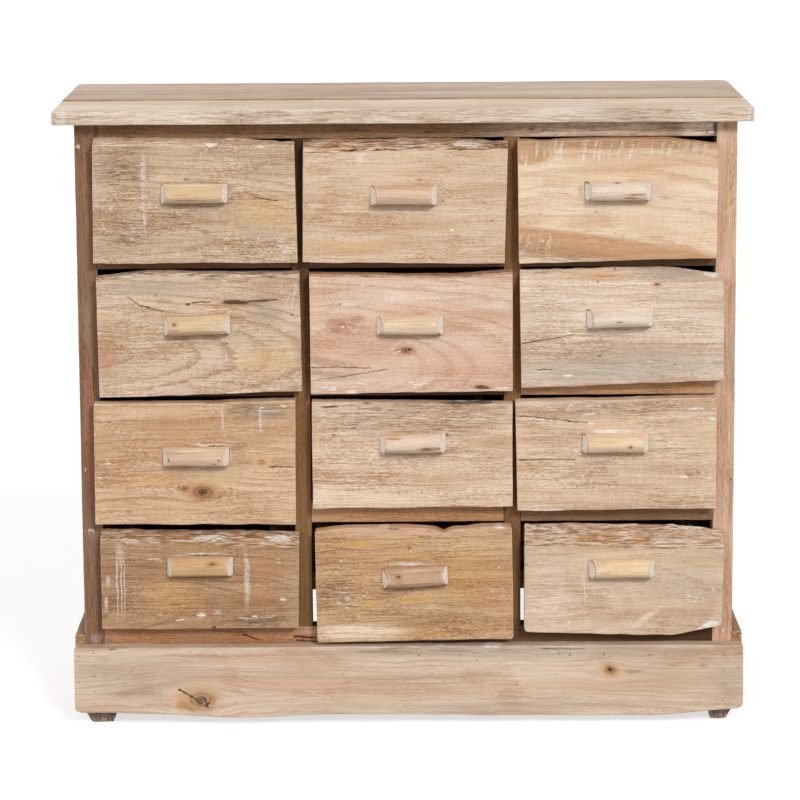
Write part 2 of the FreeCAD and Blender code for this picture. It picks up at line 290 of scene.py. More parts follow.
class Graph:
    """The nodes of a material or a world."""

    def __init__(self, owner):
        self.owner = owner
        owner.use_nodes = True
        self.tree = owner.node_tree
        self.tree.nodes.clear()

    def add(self, kind, inputs, output=0, **settings):
        node = self.tree.nodes.new("ShaderNode" + kind)
        for key, value in settings.items():
            setattr(node, key, value)
        for key, value in inputs.items():
            if isinstance(value, Field):
                self.tree.links.new(value.socket, node.inputs[key])
            else:
                node.inputs[key].default_value = value
        return Field(self, node.outputs[output]) if node.outputs else node

    def math(self, operation, a, b=0.0, **settings):
        return self.add("Math", {0: a, 1: b}, operation=operation, **settings)

    def vector(self, operation, a, b=(0, 0, 0), output=0):
        return self.add("VectorMath", {0: a, 1: b}, output, operation=operation)

    def length(self, vector):
        return self.vector("LENGTH", vector, output=1)

    def attribute(self, name, output=2):
        return self.add("Attribute", {}, output, attribute_name=name)

    def parts(self, vector):
        return [self.add("SeparateXYZ", {0: vector}, i) for i in range(3)]

    def joined(self, x, y, z):
        return self.add("CombineXYZ", {0: x, 1: y, 2: z})

    def noise(self, vector, detail=2.0, roughness=0.55, output=0):
        inputs = {"Vector": vector, "Scale": 1.0, "Detail": detail, "Roughness": roughness}
        return self.add("TexNoise", inputs, output)

    def step(self, value, low, high, top=1.0):
        """0 at low, top at high and smooth between; low may be the larger."""
        inputs = {0: value, 1: low, 2: high, 3: 0.0, 4: top}
        return self.add("MapRange", inputs, interpolation_type="SMOOTHSTEP")

    def mix(self, share, a, b):
        return self.add("Mix", {0: share, 6: a, 7: b}, 2, data_type="RGBA")

    def either(self, a, b):
        """The larger of two masks, of which one may be missing."""
        if a is None or b is None:
            return b if a is None else a
        return self.math("MAXIMUM", a, b)


def colour(red, green, blue):
    """A display colour from 0 to 255 as the linear colour that nodes take."""
    parts = [c / 255 for c in (red, green, blue)]
    return tuple(((c + 0.055) / 1.055) ** 2.4 if c > 0.04045 else c / 12.92 for c in parts) + (1.0,)


TINTS = {
    "pale": colour(236, 216, 194),
    "gold": colour(218, 174, 114),
    "yellow": colour(206, 160, 76),
    "orange": colour(184, 108, 40),
    "pink": colour(214, 170, 146),
    "red": colour(186, 124, 92),
    "brown": colour(156, 112, 76),
    "tan": colour(192, 147, 106),
    "grey": colour(172, 160, 144),
    "green": colour(156, 150, 124),
}
WHITE = colour(238, 232, 224)
DARK = colour(52, 36, 24)
RUST = colour(156, 96, 50)
BARK = colour(188, 138, 88)
SAWN = colour(124, 90, 62)
WARM_DARK = (1.0, 0.9, 0.8)
KNOT = colour(104, 70, 44)


def read_marks(text):
    """Marks of a board as tuples of a kind and numbers. Each line has one kind and its marks."""
    marks = []
    for line in text.split("\n"):
        kind, _, places = line.strip().partition(" ")
        for place in places.split("/") if kind else ():
            marks.append((kind, *[float(number) for number in place.split()]))
    return marks


# Noise along the grain: from crest to crest along and across it, detail and roughness
GRAIN = {
    "coarse": (56, 2.7, 3.0, 0.65),
    "flake": (12, 1.7, 3.0, 0.7),
    "streak": (110, 8, 4.0, 0.7),
    "band": (260, 34, 1.0, 0.65),
    "fibre": (64, 1.0, 2.0, 0.6),
    "pore": (4.5, 0.9, 1.0, 0.65),
    "hair": (50, 4.2, 2.0, 0.6),
    "torn": (22, 2.4, 3.0, 0.7),
    "shred": (15, 3.4, 3.0, 0.7),
}
# Noise longer than this looks the same on smooth wood
LONG_GRAIN = 100
# How much each short noise darkens and lightens the wood
GRAIN_SHARES = {"fibre": 0.5, "coarse": 0.2, "flake": 0.12, "pore": 0.45}
# Blotches, from crest to crest
MOTTLE_SPANS = (75, 40, 40)
# How the grain sways and how marks are torn: from crest to crest, and how far
SWAY = ((120, 50, 50), (14, 8, 4))
TEAR = ((6, 3, 3), (7, 3.2, 2))
# How far the grain of two woods lies apart for one step of their seeds
SEED_STEPS = (71.3, 37.7, 13.1)
# The rings' centre lies this far in front of where the grain's coordinates start
RING_DEPTH = 15.0
# Depth of the relief, in metres
BUMP_DEPTH = 0.0007


class Wood(Graph):
    """Sawn wood whose grain runs along the first grain coordinate and whose width is the second.

    rings are the centre of the yearly rings, how much longer than high they look, and their spacing.
    run is how long the short fibres look: 1 on rough-sawn wood, more on smooth wood. kerf is how
    strong the faint marks of the saw across the board are.
    A mark has its place along and across, half length, half width, amount and, where it leans, its
    angle. A crack has two places and a width, a dot, fleck or brad a place and a size.
    """

    def __init__(self, name, seed, light, middle, dark, rings=(0, -900, 8, 9), ring_share=0.5,
                 contrast=1.0, run=1.0, kerf=0.0, lime=0.0, marks="", bark=None, tone_and_shade_tint=None,
                 cad_axes=None):
        super().__init__(bpy.data.materials.new(name))
        self.marks = read_marks(marks)
        self.run = run
        self.still = self.attribute("grain", 1)
        if cad_axes is not None:
            parts = self.parts(self.add("TexCoord", {}, 3))
            self.still = self.scaled(self.joined(*[parts[axis] for axis in cad_axes]), (1 / MM,) * 3)
        self.offset = tuple(seed * step for step in SEED_STEPS)
        shifted = self.vector("ADD", self.still, self.offset)
        self.place = self.swayed(self.still, shifted, *SWAY)
        self.torn = self.swayed(self.place, shifted, *TEAR)
        self.bend_round_knots()
        self.coarse = self.grain_noise("coarse")
        self.flake = self.grain_noise("flake")
        self.fibre = self.grain_noise("fibre")
        self.mottle = self.noise(self.scaled(self.place, [1 / span for span in MOTTLE_SPANS]), 1.0, 0.5)
        dark = [part * warmth for part, warmth in zip(dark, WARM_DARK)]
        tones = [colour(*tone) for tone in (light, middle, dark)]
        self.draw_grain(*tones, self.rings(*rings) * ring_share, contrast, kerf)
        self.add_tints()
        self.add_weather(lime, bark)
        self.finish(tone_and_shade_tint)

    def scaled(self, vector, factors):
        return self.vector("MULTIPLY", vector, factors)

    def lay(self, share, tint):
        """Lays a colour over the wood."""
        self.base = self.mix(share, self.base, tint)

    def swayed(self, place, shifted, spans, reach):
        """A place pushed about by noise."""
        push = self.noise(self.scaled(shifted, [1 / span for span in spans]), 3.0, 0.5, 1)
        push = self.vector("SUBTRACT", push, (0.5, 0.5, 0.5))
        return self.vector("ADD", place, self.scaled(push, reach))

    def of_kind(self, kind):
        return [mark[1:] for mark in self.marks if mark[0] == kind]

    def away_from(self, across, up, field=None):
        return self.vector("SUBTRACT", field or self.torn, (across, up, 0))

    def spots(self, kind, field, soft=0.9):
        """The masks of one kind of mark together: its amount in the middle, 0 outside. May be None."""
        total = None
        for across, up, half_width, half_height, amount, *angle in self.of_kind(kind):
            away = self.away_from(across, up, field)
            if angle:
                inputs = {"Vector": away, "Angle": math.radians(-angle[0])}
                away = self.add("VectorRotate", inputs, rotation_type="Z_AXIS")
            away = self.length(self.scaled(away, (1 / half_width, 1 / half_height, 0)))
            total = self.either(total, self.step(away, 1.15, 1.15 - soft, amount))
        return total

    def bend_round_knots(self):
        """The grain's height, bent so that its lines part round each knot."""
        self.along, height, self.depth = self.parts(self.place)
        for across, up, half_width, half_height, amount in self.of_kind("knot"):
            away = self.scaled(self.away_from(across, up, self.place),
                               (0.38 / half_width, 0.5 / half_height, 0))
            near = self.math("EXPONENT", self.vector("DOT_PRODUCT", away, away, output=1) * -1.0)
            height = height - (height - up) * near * min(0.95, amount + 0.25)
        self.height = height

    def grain_noise(self, kind, narrow=1.0):
        """Noise stretched along the grain."""
        length, width, detail, roughness = GRAIN[kind]
        if length < LONG_GRAIN:
            length = length * self.run
        width = width / narrow
        parts = zip((self.along, self.height, self.depth), self.offset, (length, width, width))
        return self.noise(self.joined(*[(part + shift) * (1 / span) for part, shift, span in parts]),
                          detail, roughness)

    def rings(self, centre_x, centre_z, stretch, spacing):
        """Late wood of the yearly rings: 1 on a ring and 0 between."""
        radial = self.joined((self.along - centre_x) * (1 / stretch), self.height - centre_z,
                             self.depth + RING_DEPTH)
        radius = self.length(radial) * (1 / spacing) + self.offset[0]
        wander = self.noise(self.joined(radius * 0.3, self.along * (1 / 500), 0.0), 1.0)
        radius = radius + wander * 2.5 + self.mottle * 1.2 + self.coarse * 0.7
        share = self.math("FRACT", radius)
        late = self.step(share, 0.5, 0.95) * self.step(share, 1.0, 0.96)
        year = self.joined(self.math("FLOOR", radius) * 0.73, self.along * (1 / 260), 0.0)
        return late * (self.step(self.noise(year, 1.0), 0.38, 0.62, 0.8) + 0.2)

    def draw_grain(self, light, middle, dark, rings, contrast, kerf):
        mottle = self.mottle
        band = self.grain_noise("band")
        self.base = self.mix(self.step(self.grain_noise("streak"), 0.32, 0.68), light, middle)
        self.lay(self.step(mottle, 0.35, 0.65, 0.6), middle)
        self.lay(self.step(mottle, 0.47, 0.3, 0.42), dark)
        self.lay(self.step(band, 0.5, 0.32, 0.4), dark)
        self.lay(self.step(band, 0.5, 0.66, 0.6), light)
        self.lay(rings, dark)
        rougher = self.step(mottle, 0.62, 0.4, 0.7) + 0.5
        fields = {"fibre": self.fibre, "coarse": self.coarse, "flake": self.flake,
                  "pore": self.grain_noise("pore")}
        for kind, share in GRAIN_SHARES.items():
            self.lay(self.step(fields[kind], 0.51, 0.36, share * contrast) * rougher, dark)
            self.lay(self.step(fields[kind], 0.51, 0.66, share * contrast) * rougher, light)
        if kerf:
            saw = self.noise(self.joined(self.along * (1 / 2.4), self.height * (1 / 26), 0.0), 2.0)
            smooth = self.step(mottle, 0.38, 0.6)
            self.lay(self.step(saw, 0.5, 0.66, kerf) * smooth, light)
            self.lay(self.step(saw, 0.5, 0.34, kerf) * smooth, dark)
        ridge = self.math("ABSOLUTE", self.grain_noise("hair") - 0.5)
        self.hairs = self.step(ridge, 0.04, 0.0) * self.step(self.coarse, 0.62, 0.46)
        self.lay(self.hairs * rougher * min(1.0, 0.55 * contrast), dark)

    def add_tints(self):
        """Patches of colour, soft at their edges but for the tan bands."""
        uneven = self.step(self.coarse + self.flake, 0.8, 1.2, 0.9) + 0.35
        for kind, tint in TINTS.items():
            banded = kind == "tan"
            mask = self.spots(kind, self.place, 0.4 if banded else 0.9)
            if mask is not None:
                self.lay((mask * (uneven * 0.5 + 0.5 if banded else uneven)).clamped(), tint)

    def add_weather(self, lime, bark):
        """Rough saw marks, lime in the pores, flakes of white, knots, cracks and dots."""
        white = self.step(self.coarse, 0.62, 0.74, lime)
        pits = None
        rough = self.spots("rough", self.place)
        if rough is not None:
            pits = self.either(self.step(self.flake, 0.46, 0.36), self.hairs) * rough
            self.lay(rough * 0.25, TINTS["brown"])
            self.lay(pits * 0.85, SAWN)
            white = self.either(white, self.step(self.coarse, 0.55, 0.66) * rough * 0.55)
        saw = self.spots("saw", self.place, 0.5)
        if saw is not None:
            cuts = self.joined((self.along - self.height * 0.2) * (1 / 4), self.height * (1 / 50), 0.0)
            scratch = self.step(self.noise(cuts, 2.0), 0.5, 0.62) * self.step(self.flake, 0.4, 0.55)
            white = self.either(white, scratch * saw * 0.6)
        self.draw_knots()
        chalk = self.spots("chalk", self.place)
        if chalk is not None:
            white = self.either(white, chalk * (self.step(self.flake, 0.38, 0.58, 0.8) + 0.25))
        flakes = self.spots("white", self.torn, 0.8)
        if flakes is not None:
            white = self.either(white, self.step(flakes + (self.flake - 0.5) * 2.2, 0.52, 0.74, 0.9))
        if bark is not None:
            white, pits = self.draw_bark(*bark, white, pits)
        self.lay(white.clamped(), WHITE)
        self.relief = self.fibre * 0.5 + self.coarse * 0.5 + white * 0.6
        dark = self.spots("dark", self.torn, 0.8)
        if dark is not None:
            split = self.step(dark + (self.flake - 0.5) * 1.2, 0.46, 0.64)
            pits = self.either(pits, split)
            self.lay(split * 0.82, DARK)
        for mark in self.of_kind("crack"):
            split = self.crack(*mark)
            pits = self.either(pits, split)
            self.lay(split * 0.92, DARK)
        self.draw_dots("dot", DARK, self.torn)
        self.draw_dots("fleck", WHITE, self.torn)
        self.draw_dots("brad", DARK, self.still)
        if pits is not None:
            self.relief = self.relief - pits * 2.5

    def draw_dots(self, kind, tint, field):
        mask = None
        for across, up, size in self.of_kind(kind):
            away = self.length(self.scaled(self.away_from(across, up, field), (1, 1, 0)))
            mask = self.either(mask, self.step(away, size * 1.25, size * 0.2))
        if mask is not None:
            self.lay(mask * 0.7, tint)

    def crack(self, x0, z0, x1, z1, width):
        """Mask of a thin split from one place to another, widest where it starts."""
        run = (x1 - x0, z1 - z0, 0)
        away = self.away_from(x0, z0)
        share = self.vector("DOT_PRODUCT", away, run, output=1) * (1 / (run[0] ** 2 + run[1] ** 2))
        share = share.clamped()
        line = self.add("VectorMath", {0: run, 3: share}, operation="SCALE")
        gap = self.length(self.scaled(self.vector("SUBTRACT", away, line), (1, 1, 0)))
        return self.step(gap - (1.1 - share) * width, 0.8, -0.2)

    def draw_knots(self):
        for across, up, half_width, half_height, amount in self.of_kind("knot"):
            away = self.away_from(across, up)
            gap = self.length(self.scaled(away, (1 / half_width, 1 / half_height, 0)))
            self.lay(self.step(gap, 1.9, 0.5, 0.5 * amount), RUST)
            whorl = self.noise(self.joined(gap * 3.4, self.flake * 1.5, 0.0), 2.0)
            heart = self.step(gap + whorl * 0.7, 1.35, 0.75, amount)
            lines = self.step(self.math("FRACT", gap * 3.2 + self.coarse * 1.6), 0.5, 0.9, 0.6)
            self.lay(heart * (lines + 0.4), KNOT)
            self.lay(self.step(gap + self.coarse * 0.9, 0.85, 0.5, amount), DARK)

    def draw_bark(self, dark_share, orange_share, white_share, white, pits):
        """The live edge: torn fibres in dark, orange and white."""
        mask = self.step(self.attribute("bark") + (self.flake - 0.5) * 0.6, 0.35, 0.6)
        torn = self.grain_noise("torn", self.run)
        self.lay(mask * (0.75 * orange_share), BARK)
        self.lay(self.step(self.grain_noise("shred", self.run), 0.52, 0.6, orange_share) * mask, RUST)
        deep = self.either(self.step(torn, 0.44, 0.37), self.hairs) * mask * dark_share
        self.lay(deep, DARK)
        return self.either(white, self.step(torn, 0.53, 0.6, white_share) * mask), self.either(pits, deep)

    def finish(self, tone_and_shade_tint):
        worn = self.step(self.attribute("edge") + (self.coarse - 0.5) * 0.9, 0.5, 0.85, 0.5)
        self.lay(worn, TINTS["pale"])
        # The tone attribute darkens towards this tint: per-board tone on the panels, painted shade on the
        # mullions, the rails between the drawer rows and the handles, and a darker right part on the bottom
        # rail
        if tone_and_shade_tint is not None:
            self.lay(self.attribute("tone"), colour(*tone_and_shade_tint))
        bump = {"Strength": 0.6, "Distance": BUMP_DEPTH, "Height": self.relief}
        shader = self.add("BsdfPrincipled", {
            "Base Color": self.base,
            "Roughness": self.step(self.fibre, 0.3, 0.7, 0.2) + 0.64,
            "Normal": self.add("Bump", bump),
            "Specular IOR Level": 0.3,
        })
        self.add("OutputMaterial", {"Surface": shader})


# Drawer fronts, with places measured from the lower left corner of each opening

FRONTS = {
    (1, 1): dict(
        light=(226, 204, 177), middle=(201, 172, 142), dark=(144, 110, 78), rings=(-60, 15, 7, 9),
        contrast=1.2, run=0.9, marks="""
    rough 38 100 44 26 .9 / 42 128 46 8 .8 / 42 18 48 24 .6
    white 20 137.5 24 2 .62 / 98 139 54 2 .6 / 150 135 12 4 .95 / 174 141 9 2.4 .75 / 212 133 12 3 .65
    white 237 140 10 3 .75 / 65 39 4 4 .7 / 22 55 5 7 .6 / 7 113 2 6 .65 / 241 1 19 17 .42
    white 175 116 18 10 .42 / 250 90 4 9 .5
    chalk 64 102 4.5 26 .6 / 64 50 2.5 50 .4
    knot 119 91 3.5 2 .7
    grey 125 89 18 6 .5 / 212 22 40 14 .4
    brown 36 110 60 22 .35 / 20 44 40 14 .3
    crack 207 67.5 236 63 .4
    gold 197 63 9 10 .8 / 175 34 6 5 .7 / 223 46 52 32 .5
    yellow 250 24 12 6 .4
    brown 207 105 7 5 .5
    fleck 208 14 1.8 / 167 2 1.6
    dot 174 67 1.2
    dark 170 75 1.6 4 .6
    """),
    (1, 2): dict(
        light=(231, 208, 183), middle=(213, 184, 154), dark=(170, 134, 102), rings=(125, -300, 9, 7),
        ring_share=0.3, contrast=0.9, bark=(1.0, 1.0, 0.6), marks="""
    white 206 134 34 4 .8 / 168 120 54 8 .4 / 185 24 4 2.5 .85
    chalk 68 119 8 13 .5
    pale 12 56 14 3 .6 / 10 26 16 4 .6
    gold 50 3 66 9 .5
    dot 22 119 1.2 / 226 100 1 / 238 36 1.6 / 35 13 1.2 / 172 62 1.8
    brown 190 16 9 2 .5 / 47 45 38 3 .35
    """),
    (1, 3): dict(
        light=(241, 222, 198), middle=(230, 202, 170), dark=(186, 148, 110), rings=(70, -100, 2.3, 17),
        contrast=0.5, marks="""
    tan 125 144 280 19 1 / 6 122 34 16 .9 / 60 5 220 17 1 -6.7
    brown 125 141 260 12 .4 / 40 0 120 14 .4 -7 / 76 72 5 12 .4 / 50 143 80 13 .35
    saw 90 125 120 15 1 / 150 127 120 12 .8 / 20 7 30 14 .8
    rough 125 133 220 16 .35 / 50 -10 140 16 .5 -8
    chalk 5 109 2 14 .7 -14 / 1 117 1.4 8 .7
    fleck 11 7 2 / 28 10 1.8 / 38 2 1.8 / 190 66 1.6
    green 186 64 10 4 .5
    dot 96 47 1.4 / 81 13 1.1 / 217 26 1 / 119 19 1 / 130 14 1.4 / 34 13 1.2
    pink 200 90 50 12 .3
    """),
    (2, 1): dict(
        light=(227, 208, 183), middle=(207, 182, 155), dark=(160, 124, 92), rings=(-60, 30.5, 4.7, 9),
        ring_share=0.8, contrast=1.1, bark=(0.9, 0.4, 0.6), marks="""
    red 9 32 18 30 .5 / 178 98 24 8 .4
    grey 70 118 90 14 .45
    green 220 84 22 22 .6
    gold 216 23 48 24 .5 / 55 62 14 5 .5 / 11 83 11 5 .5
    brown 148 129 17 2.4 .7 / 86 102 14 6 .4 / 86 51 42 2 .4 / 210 42 26 1.8 .4 / 196 10 20 2 .4
    dark 180 100 24 4 .9 / 214 103 34 2.4 .8 3 / 118 97 4 3 .7
    brown 186 99 40 7 .8
    crack 124 99 148 100 .5 / 53 96 40 106 .2 / 53 96 86 87 .2
    saw 248 108 12 34 .8
    chalk 166 30 1.6 16 .4 / 120 84.5 38 1 .5
    dot 47 123 1.4 / 76 109 2.2 / 156 119 1.6 / 91 5 1.5 / 121 5 1.4 / 147 6 1.4 / 166 47 1.6
    dot 251 83 1.6
    fleck 168 49 1.6
    """),
    (2, 2): dict(
        light=(234, 212, 192), middle=(219, 187, 163), dark=(180, 140, 112), rings=(-60, 16, 4, 10),
        ring_share=0.55, contrast=0.8, bark=(0.7, 0.9, 0.1), marks="""
    red 36 70 18 9 .75 / 62 75 14 7 .6 / 50 61 22 7 .6 / 50 69 34 20 .3 / 124 35 18 8 .8 / 222 -12 22 7 .6
    rough 53 69 22 12 .2
    knot 44 66 15 11 .08 / 122 35 8 5 .75
    brown 24 20 50 8 .6 -10 / 14 6 36 4 .6 -6 / 34 62 11 5 .5 / 60 76 12 4 .4 / 48 69 16 3 .4
    white 56 66 22 14 .42 / 114 33 6 4 .7 / 27 -14 16 6 .7 / 71 -6 14 6 .6 / 56 -18 14 2.5 .8
    white 140 -7 24 10 .52 / 188 -9 5 8 .5 / 247 -14 12 3 .7 / 222 -11 16 3 .5 / 107 102 4 4 .75
    white 14 100 8 3 .5 / 5 47 4 5 .5
    dark 128 36 4 2.6 .7 / 222 -14 16 4 .75
    pink 200 20 70 30 .5 / 60 30 70 40 .4
    green 36 2 42 7 .6
    crack 3 13 78 13 .15 / 100 12 1 -6 .1
    fleck 70 121 2
    chalk 111 106 22 10 .35 / 49 95 14 3 .5 / 247 95 18 6 .4
    dot 40 96 1.8
    """),
    (2, 3): dict(
        light=(242, 225, 206), middle=(221, 199, 176), dark=(164, 136, 112), rings=(120, -260, 8, 9),
        ring_share=0.4, contrast=0.95, run=1.2, lime=0.2, marks="""
    gold 101 131 54 9 .4
    orange 112 130 40 2.4 .6 / 126 -10 160 3.6 .7 3
    grey 192 132 52 10 .8 / 130 8 180 28 .75 3
    white 247 131 15 5 .95 / 22 7 24 2 .75 / 59 0 9 2.4 .85 / 174 19 22 3 .5
    dark 24 133 18 3 .55 / 174 121 6 2.4 .75 / 30 9 20 1.6 .55
    red 174 121 10 5 .9 / 157 41 5 2.4 .6
    brown 95 17 44 2.4 .6 / 100 33 70 5 .2 4
    crack 1 43 68 55 .35
    chalk 80 50 16 3 .4
    knot 207 61 14 5 .15
    dot 103 26 1.8 / 198 14 1.8 / 167 3 1.6 / 102 123 1.6 / 123 138 1.6
    rough 150 22 120 16 .2
    """),
    (3, 1): dict(
        light=(228, 203, 171), middle=(210, 177, 141), dark=(162, 120, 82), rings=(130, -60, 5, 9),
        ring_share=0.65, marks="""
    knot 132 17 17 10 1 / 108 22 5 4 .8 / 211 57 3.4 3 .9
    orange 126 19 26 10 .5 / 211 57 7 5 .5
    gold 211 57 16 12 .6 / 70 33 40 8 .55 / 147 30 44 9 .5
    fleck 211 57 1.5
    crack 222 51 253 50 .3
    rough 205 124 48 13 .9
    green 205 124 46 13 .5
    white 209 127 10 9 .6 / 236 130 16 4 .62 / 30 99 9 4 .62 / 11 114 7 2.4 .6 / -5 97 2 6 .75
    white 140 82 32 1.6 .5 / 10 57 7 1.8 .7 / 64 59 12 1.4 .7 / 1 38 7 1.4 .7
    chalk 161 112 2 20 .4 / 211 112 3 20 .5 / 146 81 32 1.6 .8 / 171 70 1.6 12 .7
    orange 154 122 3 2 .8
    dark 152 80 20 1 .7 / 170 72 1.2 9 .6
    brown 35 -8 6 4 .6 / 60 108 70 6 .3 / 210 84 34 3 .4
    pale 213 142 42 2.6 .7
    dot 58 69 1.2 / 15 112 1.4 / 152 11 1.8
    """),
    (3, 2): dict(
        light=(240, 221, 198), middle=(222, 194, 164), dark=(166, 130, 98), rings=(60, -500, 9, 6),
        ring_share=0.35, contrast=1.05, run=1.2, lime=0.1, marks="""
    rough 130 116 170 34 .7
    dark 25 129 18 2.2 .8 / 76 133 9 1.8 .75 / 203 134 52 2 .75 / 55 101 5 1.4 .7 / 30 92 5 1.4 .7
    white 35 139 18 2.4 .75 / 134 139 9 2 .8 / 216 135.5 42 2.4 .75 / 208 19 6 6 .62 / 224 16 7 2.4 .75
    brown 90 125 6 3 .6 / 240 80 26 6 .4
    dot 177 92 3 / 105 125 1.6 / 41 85 1.4 / 35 19 1.2 / 62 19 1.4 / 85 16 1.3 / 115 14 1.4 / 145 16 1.4
    dot 160 14 1.2 / 180 14 1.2
    pink 64 46 16 9 .5
    pale 100 5 150 8 .4
    """),
    (3, 3): dict(
        light=(234, 214, 189), middle=(217, 187, 158), dark=(164, 128, 96), rings=(80, -520, 9, 7),
        ring_share=0.35, run=1.2, lime=0.08, marks="""
    chalk 120 96 44 4.4 1
    white 77 129 48 1.6 .75 / 57 124 32 1.8 .65 / 93 119 26 1.8 .65 / 145 138 28 1.4 .7
    white 220 124 30 3 .75 / 20 127 22 1.6 .7 / 34 111 38 1.8 .62 / 92 107 7 2.4 .75 / 210 36 8 5 .6
    white 243 33 6 1.8 .8 / 247 110 4 3 .7 / 29 -8 34 2 .75 / 23 7 9 6 .5
    rough 125 124 150 13 .5
    crack -5 116 66 110 .35 / 60 110 86 108 .2 / -5 58 68 57 .25
    knot 218 37 9 5 .3
    brown 229 40 5 4 .6 / 190 106 50 5 .35
    dot 8 128 1.3 / 22 121 1.3 / 70 23 1.2 / 92 22 1.2 / 112 24 2 / 175 20 1.4 / 147 16 1.2
    """),
    (4, 1): dict(
        light=(200, 169, 135), middle=(174, 137, 100), dark=(126, 86, 52), rings=(-60, 22, 6, 8),
        ring_share=0.75, contrast=1.05, bark=(0.6, 0.45, 0.5), marks="""
    white 145 124 36 5 .7 / 231 122 27 6 .75 / 237 135 20 2.4 .75 / 69 96 18 5 .5 / 100 15 9 4 .65
    white 127 21 9 5 .65 / 149 25 11 4 .65 / 74 22 5 4 .6 / 206 16 42 8 .52 / 233 42 7 3 .65
    white 233 93 5 7 .5 / 128 103.5 42 2.4 .62
    dark 130 102 34 1.4 .7 / 169 97 1.6 7 .6 / 59 138 32 3 .5 / 206 12 42 7 .5 / 144 5 6 2.6 .8
    chalk 128 103 44 3 .7 / 18 66 1.5 62 .6 / 23.5 66 1.3 62 .6 / 27.5 66 1.3 62 .5 / 23 104 7 18 .4
    chalk 188 70 5 48 .5
    chalk 188 93 4 12 .4 / 7 67 4 10 .5 / 3 38 3 13 .5
    rough 206 14 44 10 1
    red 210 80 34 22 .4 / 206 47 28 13 .5
    gold 91 47 50 32 .45
    orange 191 56 60 1.6 .35 6
    """),
    (4, 2): dict(
        light=(218, 187, 149), middle=(196, 157, 115), dark=(138, 96, 58), rings=(300, -120, 5, 8),
        ring_share=0.6, contrast=1.15, marks="""
    pink 125 138 160 12 .8
    chalk 130 87.5 42 2.4 .9
    white 93 140 27 3.4 .95 / 16 137 10 2.4 .85 / 245 145 15 2 .85 / 246 137 12 2.6 .8 / 36 44 26 18 .42
    dark 105 136 13 1.6 .7
    knot 171 133 14 7 .2 / 129 109 4 3.4 .5
    yellow 58 115 36 5 .8 / 140 121 16 4 .7 / 138 100 36 3.4 .7 / 197 95 16 4 .7 / 67 66 12 3 .5
    yellow 73 36 24 5 .6 / 137 40 40 7 .6 / 150 -6 40 5 .45 / 200 70 60 36 .3
    rough 32 50 36 24 .7 / 160 22 90 22 .35
    fleck 131 105 2 / 40 93 2 / 45 30 1.8 / 245 83 1.8 / 237 52 1.8
    brown 124 93 32 2 .7 / 100 27 26 2 .6
    pale 60 -3 76 14 .85
    dot 109 118 1.4 / 155 118 1.4
    red 230 38 38 16 .4
    """),
    (4, 3): dict(
        light=(224, 205, 181), middle=(207, 180, 152), dark=(166, 131, 102), rings=(20, 30, 3.2, 15),
        ring_share=0.4, contrast=0.75, bark=(0.5, 0.45, 0.5), marks="""
    orange 107 121 44 4.6 1 / 150 118 26 4 .7
    brown 130 112 110 9 .3 / 184 130 14 5 .8
    chalk 150 89 30 1.6 .6
    white 14 137 12 7 .55 / 157 138 26 3.4 .6 / 221 132 48 7 .6 / 43 133 8 3 .6 / 221 44 44 16 .42
    white 245 3 24 8 .75 22
    dark 14 141 11 4 .6 / 157 140 26 2.6 .65 / 226 134 40 3 .5
    yellow 243 83 24 3.6 .7
    chalk 83 47 1.6 30 .45
    pale 30 40 52 46 .5 / 166 16 34 5 .5 36 / 120 60 60 24 .4
    knot 28 12 4 3 .3
    fleck 64 9 1.8 / 250 51 1.8
    grey 222 60 46 34 .3
    dot 5 87 1.6
    """),
}
# Radius of the corners, where it isn't the usual one
CORNERS = {(4, 2): 4.6, (4, 3): 5.0, (2, 3): 3.0}
CORNER = 1.8
# How far the torn live edge reaches down the face, where there is more of it than usual
BARK_DEPTHS = {(1, 2): 6.5, (2, 1): 7.0, (2, 2): 5.0, (4, 1): 6.0, (4, 3): 5.0}
BARK_DEPTH = 3.0
BARK_FADE = 2.5
# Notches in the upper edge as place, half width and depth
NOTCHES = {
    (4, 2): [(173, 7, 4), (205, 10, 1)],
    (1, 3): [(30, 16, 1.5)],
    (3, 1): [(150, 20, 1)],
}
# An upper edge whose face lies this much lower than its rear was left with its wane
WANE = 4.0
FRONT_KERF = 0.12
# How rough a sawn upper edge is beside a live one
SAWN_ROUGHNESS = 0.35
# Corners of a front's outline lie below or above these heights over the opening's lower edge
UNDER_BELOW = 40
ROOF_ABOVE = 100


def rounded(x, z, low, high, radius):
    """Places in an upright rectangle with its corners rounded off."""
    near_x = np.clip(x, low[0] + radius, high[0] - radius)
    near_z = np.clip(z, low[1] + radius, high[1] - radius)
    reach = np.maximum(np.hypot(x - near_x, z - near_z), 1e-9)
    share = np.minimum(1.0, radius / reach)
    return near_x + (x - near_x) * share, near_z + (z - near_z) * share


